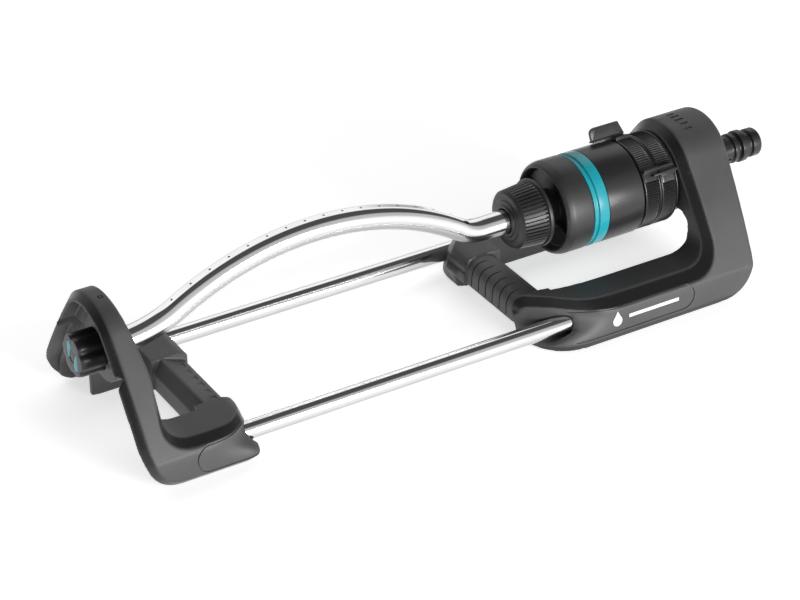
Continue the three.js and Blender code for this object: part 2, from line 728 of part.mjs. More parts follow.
// Two plates inside the barrel carry the shafts.
function gearPlate(x, holes) {
  const disc = rod(x, INNER_R - GAP, { segments: 32 });
  const bores = holes.map(([at, radius]) =>
    rod([x[0] - 1, x[1] + 1], radius, { segments: 16, ...at }));
  const waterways = spread(rod([x[0] - 1, x[1] + 1], 3.4, {
    segments: 16, y: 0, z: AXIS_Z + 20,
  }), 3, 160);
  return cut(disc, ...bores, ...waterways);
}

add('gear_plate_front', gearPlate([95, 97.4], [
  [axisAt, PIN_BORE], [compoundAt, PIN_BORE],
]), GREY_GEAR);
add('gear_plate_rear', gearPlate([109, 111.2], [
  [compoundAt, PIN_BORE], [outputAt, PIN_BORE],
]), GREY_GEAR);

// Jet plate in front of the turbine.
function jetPlate() {
  const disc = rod([83, 84.8], INNER_R - GAP, { segments: 32 });
  const jets = spread(rod([82, 86], 2, { segments: 12, y: 0, z: AXIS_Z + 15 }), 4, 45);
  return cut(disc, rod([82, 86], PIN_BORE, { segments: 16 }), ...jets);
}
add('jet_plate', jetPlate(), GREY_GEAR);

// ---------------------------------------------------------------- reversing lever
// Swings on a pin inside the barrel, and its finger reaches back over the range rings.
const leverAt = around(LEVER_PIVOT_R, 0);
function reversingLever() {
  const boss = rod([119.7, 122.5], 3.2, { segments: 20, ...leverAt });
  const arm = block([120, 122.5], [-1.5, 1.5], [leverAt.z, AXIS_Z + 31.6]);
  const finger = block([120, 152.6], [-1.5, 1.5], [AXIS_Z + 29.4, AXIS_Z + 31.6]);
  const hole = rod([118, 126], PIN_BORE, { segments: 16, ...leverAt });
  return swung(cut(join(boss, arm, finger), hole), LEVER_ANGLE);
}
add('reversing_lever', reversingLever(), BLACK_SATIN);
add('lever_pin', swung(rod([112.4, 125.2], PIN_R, { segments: 16, ...leverAt }), LEVER_ANGLE), STEEL);

// ---------------------------------------------------------------- hub and range rings
// The hub is fixed in the rear frame. Its neck enters the barrel and ends in a step for the gear.
const hubStep = HUB_NECK_R - 1.2;
add('inlet_hub', turned([
  [112.8, 6.5], [112.8, hubStep], [119.3, hubStep], [119.3, HUB_NECK_R], [129, HUB_NECK_R],
  [129, HUB_RING_R], [153.3, HUB_RING_R], [153.3, HUB_BODY_R], [182.6, HUB_BODY_R],
  [182.6, 17.2], [132, 17.2], [132, 6.5],
], { segments: 36 }), BLACK_SATIN);

function fixedGear() {
  const disc = alongX(
    gearOutline(SUN_TEETH, 0, AXIS_Z, gapPhase(heading(axisAt, outputAt), SUN_TEETH)),
    [113.4, 119],
  );
  return cut(disc, rod([110, 125], HUB_NECK_R - 0.9, { segments: 32 }));
}

add('fixed_gear', fixedGear(), WHITE_GEAR);
add('hub_seal', pipe([122.9, 125.3], HUB_NECK_R + 0.25, 16.6, { segments: 28 }), RUBBER);

// A ring with a raised rim on both edges, a thumb bar and a stop for the reversing lever.
function rangeRing(x, barAngle, barX, stopAngle) {
  const ring = turned([
    [x[0], HUB_RING_R + 0.45], [x[0], RING_R], [x[0] + 1.4, RING_R], [x[0] + 1.6, RING_R - 0.7],
    [x[1] - 1.6, RING_R - 0.7], [x[1] - 1.4, RING_R], [x[1], RING_R], [x[1], HUB_RING_R + 0.45],
  ], { segments: 32 });
  const foot = block([x[0] + 0.4, x[1] - 0.4], [-1.7, 1.7], [AXIS_Z + 25.5, AXIS_Z + 28.9]);
  const bar = block(barX, [-0.8, 0.8], [AXIS_Z + 28.7, AXIS_Z + 31]);
  const stop = block([x[0] + 1, x[1] - 1], [-1, 1], [AXIS_Z + 25.5, AXIS_Z + 31.4]);
  return join(ring, swung(join(foot, bar), barAngle), swung(stop, stopAngle));
}

const FIN_ANGLE = -25;           // thumb fin of the front ring, which reaches over the barrel

function frontRing() {
  const body = rangeRing(RING_FRONT_X, 49, [130.2, 151], LEVER_ANGLE + 56);
  const root = block([130.4, 140.6], [-6.5, 6.5], [AXIS_Z + 25, AXIS_Z + 29.4]);
  const fin = alongY(polygon([
    [117, AXIS_Z + 29.3], [117, AXIS_Z + 35], [120, AXIS_Z + 38], [134, AXIS_Z + 38],
    [139, AXIS_Z + 29.3],
  ]), [-1.2, 1.2]);
  return join(body, swung(join(root, fin), FIN_ANGLE));
}

add('range_ring_front', frontRing(), BLACK_SATIN);
add('range_ring_rear', rangeRing(
  RING_REAR_X, 56, [136, 153.4], LEVER_ANGLE - 56,
), BLACK_SATIN);

// ---------------------------------------------------------------- hose connector and filter
function hoseConnector() {
  const plug = turned([
    [176, 5], [176, 16.8], [178.4, 16.8], [178.4, 15], [181, 15], [181, 16.8],
    [188, 16.8], [189.4, 15.4], [189.4, 5],
  ], { segments: 32 });
  const nipple = turned([
    [189, 5], [189, 10.4], [192, 8.6], [210.5, 8.3], [211, 9.3],
    [213.4, 9.3], [213.8, 7.4], [216, 7.4], [216.4, 9.9], [220.6, 9.9], [221, 7.2],
    [224.6, 7.2], [225, 8.9], [230.2, 8.9], [231.5, 7.9], [231.5, 5],
  ], { segments: 32, z: AXIS_Z + NIPPLE_RISE });
  const waterway = rod([170, 191], 5, { segments: 32, z: AXIS_Z + NIPPLE_RISE });
  const inlet = rod([170, 178], 5, { segments: 32 });
  return cut(join(plug, nipple), waterway, inlet);
}
add('hose_connector', hoseConnector(), BLACK_GLOSS);
add('connector_seal', pipe([178.7, 180.7], 15.25, 16.9, { segments: 28 }), RUBBER);
add('filter_screen', turned([
  [140, 0], [140, 11.4], [175.7, 12.6], [175.7, 11.4], [141.4, 10.2], [141.4, 0],
], { segments: 28 }), STEEL);

export default part;
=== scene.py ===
"""The looks of an oscillating lawn sprinkler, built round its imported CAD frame.

Lengths are millimetres up to the moment a mesh is made; Blender's own lengths are metres.
+X runs from the end knob to the hose nipple, -Y is the near side and +Z is up.
"""
import json
import math

import bmesh
import bpy
import numpy as np
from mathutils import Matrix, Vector

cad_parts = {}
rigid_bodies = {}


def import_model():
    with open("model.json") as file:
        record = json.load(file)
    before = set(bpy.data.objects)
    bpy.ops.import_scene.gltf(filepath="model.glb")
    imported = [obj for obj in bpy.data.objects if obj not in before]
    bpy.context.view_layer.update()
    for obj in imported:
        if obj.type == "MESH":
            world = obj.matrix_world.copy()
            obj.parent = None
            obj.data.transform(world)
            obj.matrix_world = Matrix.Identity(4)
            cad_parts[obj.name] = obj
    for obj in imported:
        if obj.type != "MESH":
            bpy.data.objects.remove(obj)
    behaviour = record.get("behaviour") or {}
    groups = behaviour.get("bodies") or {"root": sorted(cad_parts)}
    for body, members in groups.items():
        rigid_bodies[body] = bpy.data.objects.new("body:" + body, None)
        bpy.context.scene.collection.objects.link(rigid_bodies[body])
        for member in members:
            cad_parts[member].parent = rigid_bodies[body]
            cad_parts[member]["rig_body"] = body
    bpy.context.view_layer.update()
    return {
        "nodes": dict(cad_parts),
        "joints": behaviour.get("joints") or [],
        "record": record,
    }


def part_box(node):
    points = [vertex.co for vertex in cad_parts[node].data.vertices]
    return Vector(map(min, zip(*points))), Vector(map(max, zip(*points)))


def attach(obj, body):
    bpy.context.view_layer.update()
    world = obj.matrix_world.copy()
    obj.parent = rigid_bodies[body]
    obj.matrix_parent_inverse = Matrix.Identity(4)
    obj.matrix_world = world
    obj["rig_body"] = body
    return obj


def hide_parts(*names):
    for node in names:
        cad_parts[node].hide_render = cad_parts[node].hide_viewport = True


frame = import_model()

MM = 0.001
TAU = 2 * math.pi
JOINTS = {joint["name"]: joint for joint in frame["joints"]}
AXIS_Z = JOINTS["spray_swing"]["pos_m"][2] / MM


# --- sizes read from the frame
def span(node):
    """Lowest and highest corner of a CAD node, in millimetres."""
    low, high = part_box(node)
    return low / MM, high / MM


def ends(node):
    low, high = span(node)
    return low.x, high.x


def outer_radius(node):
    low, high = span(node)
    return (high.y - low.y) / 2


# --- camera
CAMERA_AZIMUTH = math.radians(31.376)
CAMERA_ELEVATION = math.radians(31.794)
CAMERA_DISTANCE = 1.5
CAMERA_AIM = Vector((-0.0462, -0.0363, 0.0525))
CAMERA_LENS = 120.13


def add_object(name, data):
    thing = bpy.data.objects.new(name, data)
    bpy.context.scene.collection.objects.link(thing)
    return thing


def aim_at(thing, place, aim):
    thing.location = place
    thing.rotation_mode = "QUATERNION"
    thing.rotation_quaternion = (Vector(aim) - Vector(place)).to_track_quat("-Z", "Y")


def make_camera():
    data = bpy.data.cameras.new("camera")
    data.lens = CAMERA_LENS
    data.sensor_width = 36
    back = Vector((
        -math.sin(CAMERA_AZIMUTH) * math.cos(CAMERA_ELEVATION),
        -math.cos(CAMERA_AZIMUTH) * math.cos(CAMERA_ELEVATION),
        math.sin(CAMERA_ELEVATION),
    ))
    camera = add_object("camera", data)
    aim_at(camera, CAMERA_AIM + back * CAMERA_DISTANCE, CAMERA_AIM)
    bpy.context.scene.camera = camera


make_camera()


# --- shader helpers
class Nodes:
    """Builds shader nodes: an input that is a socket is linked, anything else is set."""

    def __init__(self, tree):
        self.tree = tree
        self.tree.nodes.clear()

    def add(self, kind, inputs=None, **settings):
        node = self.tree.nodes.new("ShaderNode" + kind)
        for name, value in settings.items():
            setattr(node, name, value)
        for name, value in (inputs or {}).items():
            socket = node.inputs[name]
            if isinstance(value, bpy.types.NodeSocket):
                self.tree.links.new(value, socket)
            else:
                socket.default_value = value
        return node

    def math(self, operation, first, second=0.0):
        return self.add("Math", {0: first, 1: second}, operation=operation).outputs[0]

    def times(self, first, second):
        return self.math("MULTIPLY", first, second)

    def plus(self, first, second):
        return self.math("ADD", first, second)

    def ramp(self, value, low, high, start=0.0, stop=1.0):
        """Maps low..high to start..stop, held at both ends."""
        node = self.add("MapRange", {
            "Value": value, "From Min": low, "From Max": high, "To Min": start, "To Max": stop,
        })
        return node.outputs["Result"]

    def mix(self, factor, first, second):
        return self.add("Mix", {0: factor, 6: first, 7: second}, data_type="RGBA").outputs[2]

    def noise(self, place, scale, detail=3.0, roughness=0.5):
        node = self.add("TexNoise", {
            "Vector": place, "Scale": scale, "Detail": detail, "Roughness": roughness,
        })
        return node.outputs["Fac"]

    def place(self, stretch=(1, 1, 1)):
        """Object coordinates in metres, scaled by stretch."""
        coordinates = self.add("TexCoord").outputs["Object"]
        return self.add("Mapping", {"Vector": coordinates, "Scale": stretch}).outputs[0]

    def bump(self, height, distance, strength):
        inputs = {"Height": height, "Distance": distance, "Strength": strength}
        return self.add("Bump", inputs).outputs[0]


def rgba(colour):
    return (*colour, 1.0)


def new_look(name):
    material = bpy.data.materials.new(name)
    material.use_nodes = True
    return material, Nodes(material.node_tree)


def surface(nodes, colour, roughness, normal, metallic=0.0):
    shader = nodes.add("BsdfPrincipled", {
        "Base Color": colour, "Roughness": roughness, "Normal": normal, "Metallic": metallic,
    })
    nodes.add("OutputMaterial", {"Surface": shader.outputs[0]})


def worn_edges(nodes, amount):
    """How exposed an edge is, broken up by noise; 0 on flats."""
    exposed = nodes.ramp(nodes.add("NewGeometry").outputs["Pointiness"], 0.52, 0.62)
    patches = nodes.ramp(nodes.noise(nodes.place(), 160, 4), 0.42, 0.62)
    return nodes.times(nodes.times(exposed, patches), amount)


GRAIN_HEIGHT = 0.00012           # metres, as are the three below
DIE_LINE_HEIGHT = 0.00001
DULL_SHADE_FROM, DULL_SHADE_TO = 0.0016, -0.0042    # height on a tube where its underside turns duller and is painted darker as shade
THREAD_PITCH = 0.0006


def plastic(name, colour, pale, roughness, grain, grain_size, fibre=0.0, polish_and_shade=None):
    """Moulded plastic: fine spark grain, faint flow clouds, rubbed edges and small scuffs.

    The band colour, if given, is painted on the bands marked by the polish vertex attribute: painted
    shade, darker than the grained skin, on bands that are also smoother.
    """
    material, nodes = new_look(name)
    place = nodes.place()
    clouds = nodes.noise(place, 22, 4)
    dust = nodes.ramp(nodes.noise(place, 420, 3, 0.7), 0.3, 0.75)
    fine = nodes.noise(place, 1000 / grain_size, 2, 0.6)
    scuffs = nodes.ramp(nodes.noise(nodes.place((30, 260, 260)), 3, 5, 0.65), 0.62, 0.78)
    shade = nodes.mix(nodes.ramp(clouds, 0.3, 0.7), rgba(colour), rgba(pale))
    shade = nodes.mix(nodes.times(dust, 0.25), shade, rgba(pale))
    shade = nodes.mix(worn_edges(nodes, 0.45), shade, rgba([min(1, c * 1.6 + 0.02) for c in pale]))
    rough = nodes.ramp(clouds, 0.25, 0.75, roughness - 0.05, roughness + 0.05)
    rough = nodes.plus(rough, nodes.times(scuffs, -0.08))
    height = nodes.plus(fine, nodes.times(scuffs, 0.4))
    if fibre:
        streaks = nodes.noise(nodes.place((14, 900, 900)), 1, 3)
        height = nodes.plus(height, nodes.times(streaks, fibre))
    # painted shade: the marked bands get the darker band colour; they are also smoother and less
    # grainy
    if polish_and_shade is not None:
        smooth = nodes.add("Attribute", attribute_name="polish_and_shade").outputs["Fac"]
        shade = nodes.mix(smooth, shade, rgba(polish_and_shade))
        rough = nodes.math("SUBTRACT", rough, nodes.times(smooth, 0.14))
        height = nodes.times(height, nodes.ramp(smooth, 0, 1, 1.0, 0.35))
    surface(nodes, shade, rough, nodes.bump(height, GRAIN_HEIGHT, grain))
    return material


def polished_metal(name, colour, roughness, along, lines, tarnish, under=None):
    """Drawn and polished metal: fine die lines along its length, smears and pinprick marks.

    under, if given, is the darker colour painted on a tube's underside as shade, standing in for
    the reflection of the shaded floor below; the underside is also a little rougher. The drawn
    attribute then holds the place along the tube, to the far side of its centreline and above it.
    """
    material, nodes = new_look(name)
    if under is None:
        path = nodes.place()
    else:
        path = nodes.add("Attribute", attribute_name="drawn").outputs["Vector"]
    stretched = nodes.add("Mapping", {"Vector": path, "Scale": along}).outputs[0]
    drawn = nodes.noise(stretched, lines, 4, 0.6)
    smears = nodes.noise(nodes.place((9, 30, 30)), 3, 5, 0.6)
    pricks = nodes.ramp(nodes.noise(nodes.place(), 1500, 2), 0.66, 0.74)
    shade = nodes.mix(nodes.ramp(smears, 0.35, 0.75), rgba(colour), rgba(tarnish))
    rough = nodes.ramp(smears, 0.3, 0.75, roughness * 0.7, roughness * 1.6)
    if under is not None:
        # painted shade: the underside darkens towards its bottom, standing in for the reflected
        # shaded floor; it is also made rougher
        parts = nodes.add("SeparateXYZ", {"Vector": path})
        streaky = nodes.times(nodes.math("SUBTRACT", drawn, 0.5), 0.004)
        low = nodes.plus(parts.outputs["Z"], streaky)
        dull_and_shaded = nodes.ramp(low, DULL_SHADE_FROM, DULL_SHADE_TO)
        shade = nodes.mix(dull_and_shaded, shade, rgba(under))
        rough = nodes.plus(rough, nodes.times(dull_and_shaded, 0.12))
    rough = nodes.plus(rough, nodes.ramp(drawn, 0.3, 0.7, 0.0, roughness * 0.6))
    height = nodes.plus(drawn, nodes.times(pricks, 0.3))
    surface(nodes, shade, rough, nodes.bump(height, DIE_LINE_HEIGHT, 0.35), metallic=1.0)
    return material


def rubber(name, colour):
    material, nodes = new_look(name)
    place = nodes.place()
    bloom = nodes.ramp(nodes.noise(place, 90, 5), 0.4, 0.7)
    shade = nodes.mix(nodes.times(bloom, 0.5), rgba(colour), rgba([c * 3 for c in colour]))
    rough = nodes.ramp(bloom, 0, 1, 0.62, 0.85)
    surface(nodes, shade, rough, nodes.bump(nodes.noise(place, 2400, 2), 0.00008, 0.5))
    return material


def mesh_cloth(name):
    """Fine woven wire: crossing threads in the bump and in the shade."""
    material, nodes = new_look(name)
    place = nodes.place()
    parts = nodes.add("SeparateXYZ", {"Vector": place})
    threads = [
        nodes.math("SINE", nodes.times(parts.outputs[axis], TAU / THREAD_PITCH))
        for axis in ("X", "Y", "Z")
    ]
    weave = nodes.times(threads[0], nodes.plus(threads[1], threads[2]))
    shade = nodes.mix(nodes.ramp(weave, -1, 1), (0.12, 0.12, 0.12, 1), (0.6, 0.6, 0.58, 1))
    surface(nodes, shade, nodes.ramp(weave, -1, 1, 0.5, 0.3),
            nodes.bump(weave, 0.0001, 0.8), metallic=1.0)
    return material


KNOB_LOOK = plastic("knob_gloss", (0.006, 0.006, 0.006), (0.010, 0.010, 0.010), 0.34, 0.2, 0.4)
PAINT_LOOK = plastic("mark_paint", (0.62, 0.62, 0.62), (0.80, 0.80, 0.80), 0.50, 0.25, 0.3)
SLOT_LOOKS = {
    # painted shade: the chamfer and skirt bands are painted a darker grey (0.012) than the skin
    "frame_plastic": plastic("frame_moulding", (0.040, 0.040, 0.040), (0.060, 0.060, 0.060),
                             0.46, 1.0, 0.45, polish_and_shade=(0.012, 0.012, 0.012)),
    "black_plastic": plastic("black_moulding", (0.017, 0.017, 0.018), (0.026, 0.026, 0.027),
                             0.40, 0.35, 0.4),
    "gloss_black": plastic("barrel_gloss", (0.013, 0.013, 0.014), (0.020, 0.020, 0.021),
                           0.30, 0.2, 0.4, fibre=0.7),
    "ring_plastic": plastic("ring_moulding", (0.013, 0.013, 0.014), (0.021, 0.021, 0.022),
                            0.30, 0.25, 0.4),
    "turquoise": plastic("turquoise_trim", (0.006, 0.255, 0.31), (0.015, 0.32, 0.375),
                         0.28, 0.2, 0.5),
    "white_acetal": plastic("natural_acetal", (0.74, 0.72, 0.66), (0.80, 0.78, 0.73),
                            0.42, 0.2, 0.5),
    "grey_plastic": plastic("grey_moulding", (0.26, 0.27, 0.28), (0.32, 0.33, 0.34),
                            0.45, 0.3, 0.5),
    # painted shade: the tube's underside colour (0.44) is darker than its polished top
    "polished_tube": polished_metal("polished_tube", (0.90, 0.90, 0.90), 0.075, (6, 900, 900),
                                    1.0, (0.80, 0.80, 0.80), under=(0.44, 0.44, 0.44)),
    "screw_steel": polished_metal("zinc_steel", (0.62, 0.62, 0.60), 0.28, (60, 60, 60), 8.0,
                                  (0.45, 0.44, 0.42)),
    "seal_rubber": rubber("seal_rubber", (0.012, 0.012, 0.012)),
    "filter_mesh": mesh_cloth("filter_weave"),
}
SLOT_LOOKS["aluminium"] = SLOT_LOOKS["polished_tube"]
NODE_SLOTS = {row["node"]: row["material_slot"] for row in frame["record"]["subparts"]}


def dress_frame():
    """Every CAD node gets the look of its own material slot."""
    for name, node in frame["nodes"].items():
        node.data.materials.clear()
        node.data.materials.append(SLOT_LOOKS[NODE_SLOTS[name]])


dress_frame()


# --- mesh helpers
def face_outwards(mesh, split=False):
    """Merges doubled vertices and turns the faces outwards; split also cuts up large faces."""
    work = bmesh.new()
    work.from_mesh(mesh)
    bmesh.ops.remove_doubles(work, verts=work.verts, dist=1e-7)
    if split:
        bmesh.ops.triangulate(work, faces=[f for f in work.faces if len(f.verts) > 4])
    bmesh.ops.recalc_face_normals(work, faces=work.faces)
    work.to_mesh(mesh)
    work.free()


def new_object(name, verts, faces):
    """A mesh object from millimetre points, with its faces pointing out."""
    mesh = bpy.data.meshes.new(name)
    mesh.from_pydata((np.asarray(verts, float) * MM).tolist(), [], faces)
    face_outwards(mesh)
    return add_object(name, mesh)


def soften(outline, radius, steps=4):
    """Rounds the corners of a closed outline, but not on or below the axis or where it is
    nearly straight."""
    rounded = []
    count = len(outline)
    for k, point in enumerate(outline):
        here = Vector(point)
        before = Vector(outline[k - 1]) - here
        after = Vector(outline[(k + 1) % count]) - here
        reach = min(radius, before.length * 0.48, after.length * 0.48)
        straight = before.normalized().dot(after.normalized()) < -0.97
        if here.y < 1e-6 or straight or reach < 1e-4:
            rounded.append(tuple(here))
            continue
        start = here + before.normalized() * reach
        stop = here + after.normalized() * reach
        for j in range(steps + 1):
            t = j / steps
            rounded.append(tuple(start * (1 - t) ** 2 + here * (2 * t * (1 - t)) + stop * t * t))
    return rounded


def lofted(name, rings):
    """A closed skin through rings of equally many points; the last ring meets the first."""
    count = len(rings[0])
    faces = []
    for i in range(len(rings)):
        here, there = i * count, (i + 1) % len(rings) * count
        for k in range(count):
            j = (k + 1) % count
            faces.append([here + k, here + j, there + j, there + k])
    return new_object(name, [point for ring in rings for point in ring], faces)


def revolve(name, profile, count=96, y=0.0, z=AXIS_Z, ripple=None):
    """A closed (x, radius) profile turned about a line along X.

    ripple(x, radius, angle) gives another radius; the angle runs from the top to the near side.
    """
    rings = []
    for x, r in profile:
        ring = []
        for k in range(count):
            a = TAU * k / count
            radius = ripple(x, r, a) if ripple else r
            ring.append((x, y - radius * math.sin(a), z + radius * math.cos(a)))
        rings.append(ring)
    return lofted(name, rings)


def pulled(name, outline, axis, reach):
    """A closed outline pulled along an axis; its points are the two other coordinates in order."""
    def place(point, along):
        corner = list(point)
        corner.insert("xyz".index(axis), along)
        return corner

    count = len(outline)
    verts = [place(point, along) for along in reach for point in outline]
    faces = [list(range(count)), list(range(count, 2 * count))]
    faces += [[k, (k + 1) % count, count + (k + 1) % count, count + k] for k in range(count)]
    thing = new_object(name, verts, faces)
    face_outwards(thing.data, split=True)
    return thing


def turned_by(thing, degrees, height=AXIS_Z):
    """Turns a mesh about a line along X at y = 0, from the top towards the near side."""
    a = math.radians(degrees)
    for vertex in thing.data.vertices:
        y, z = vertex.co.y, vertex.co.z - height * MM
        vertex.co.y = y * math.cos(a) - z * math.sin(a)
        vertex.co.z = y * math.sin(a) + z * math.cos(a) + height * MM
    return thing


def leaned(thing, angle, place):
    """Tips a mesh made at the origin in the XZ plane, then carries it to a point (x, z)."""
    for vertex in thing.data.vertices:
        x, z = vertex.co.x, vertex.co.z
        vertex.co.x = place[0] * MM + x * math.cos(angle) + z * math.sin(angle)
        vertex.co.z = place[1] * MM - x * math.sin(angle) + z * math.cos(angle)
    return thing


def rectangle(u, v):
    return [(u[0], v[0]), (u[1], v[0]), (u[1], v[1]), (u[0], v[1])]


def circle(centre, radius, count):
    return [(centre[0] + radius * math.cos(a), centre[1] + radius * math.sin(a))
            for a in np.linspace(0, TAU, count, False)]


def bake_modifiers(thing):
    graph = bpy.context.evaluated_depsgraph_get()
    mesh = bpy.data.meshes.new_from_object(thing.evaluated_get(graph))
    thing.modifiers.clear()
    old = thing.data
    thing.data = mesh
    bpy.data.meshes.remove(old)


def copied(thing):
    return add_object(thing.name, thing.data.copy())


def drop_object(thing):
    mesh = thing.data
    bpy.data.objects.remove(thing)
    bpy.data.meshes.remove(mesh)


def combine(base, operation, tools):
    """Joins tools to base or cuts them from it, and removes the tools."""
    for tool in tools:
        step = base.modifiers.new("combine", "BOOLEAN")
        step.operation = operation
        step.solver = "MANIFOLD"
        step.object = tool
    bake_modifiers(base)
    for tool in tools:
        drop_object(tool)
    return base


def join(base, *tools):
    return combine(base, "UNION", tools)


def cut(base, *tools):
    return combine(base, "DIFFERENCE", tools)


def bevel(thing, width):
    step = thing.modifiers.new("bevel", "BEVEL")
    step.width = width * MM
    step.segments = 3
    step.limit_method = "ANGLE"
    step.angle_limit = math.radians(40)
    bake_modifiers(thing)
    return thing


def place_piece(thing, node, sharp=32, look=None):
    """Finishes a piece: smooth shading, its look from its node's slot, its body, and hides the CAD
    node it stands for.
    """
    thing.data.shade_smooth()
    thing.data.set_sharp_from_angle(angle=math.radians(sharp))
    thing.data.materials.clear()
    thing.data.materials.append(look or SLOT_LOOKS[NODE_SLOTS[node]])
    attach(thing, frame["nodes"][node]["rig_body"])
    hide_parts(node)
    return thing


# --- outlines
class Outline:
    """An outline in a plane, drawn with lines, quadratic curves and arcs."""

    def __init__(self, *start):
        self.points = [start]

    def draw(self, *steps):
        """A plain point draws a line to it; a control point and an end draw a curve."""
        for step in steps:
            if isinstance(step[0], tuple):
                self.curve(*step)
            else:
                self.points.append(step)
        return self

    def curve(self, control, end, steps=20):
        a, b, c = Vector(self.points[-1]), Vector(control), Vector(end)
        for k in range(1, steps + 1):
            t = k / steps
            self.points.append(tuple(a * (1 - t) ** 2 + b * (2 * t * (1 - t)) + c * t * t))

    def arc(self, centre, radius, start, stop, steps=60):
        for k in range(1, steps + 1):
            a = start + (stop - start) * k / steps
            self.points.append((centre[0] + radius * math.cos(a), centre[1] + radius * math.sin(a)))


ARCH_RADIUS = 32.6
ARCH_CENTRE_Z = 58.7
ARCH_FROM = math.radians(38)
ARCH_BOW = (50.8, 46.7)
ARCH_KNEE = (66.2, 20)
ARCH_SOFT = 1
STRAP = 9
LIP = 5.6                        # how thick the arch looks from the front
BEAM_TOP = 25.5
BETWEEN_BEAMS = (-38, 38)
FOOT_Y = span("rear_frame")[1].y
TUBE_R = outer_radius("frame_tube_near")
TUBE_Y = span("frame_tube_far")[1].y - TUBE_R
TUBE_Z = span("frame_tube_far")[1].z - TUBE_R


def arch_outline(inset, floor=0.0):
    """A round hood over legs that bow out to the feet, across X."""
    def inwards(point):
        return (point[0] - inset * math.cos(ARCH_FROM), point[1] - inset * math.sin(ARCH_FROM))

    foot, radius, knee = FOOT_Y - inset, ARCH_RADIUS - inset, inwards(ARCH_KNEE)
    top = (radius * math.cos(ARCH_FROM), ARCH_CENTRE_Z + radius * math.sin(ARCH_FROM))
    leg = Outline(foot - ARCH_SOFT, floor).draw(
        ((foot, floor), (foot, floor + ARCH_SOFT)), ((foot, knee[1] - ARCH_SOFT), knee),
        (inwards(ARCH_BOW), top, 40))
    other_leg = [(-y, z) for y, z in leg.points[-2::-1]]
    leg.arc((0, ARCH_CENTRE_Z), radius, ARCH_FROM, math.pi - ARCH_FROM)
    return leg.points + other_leg


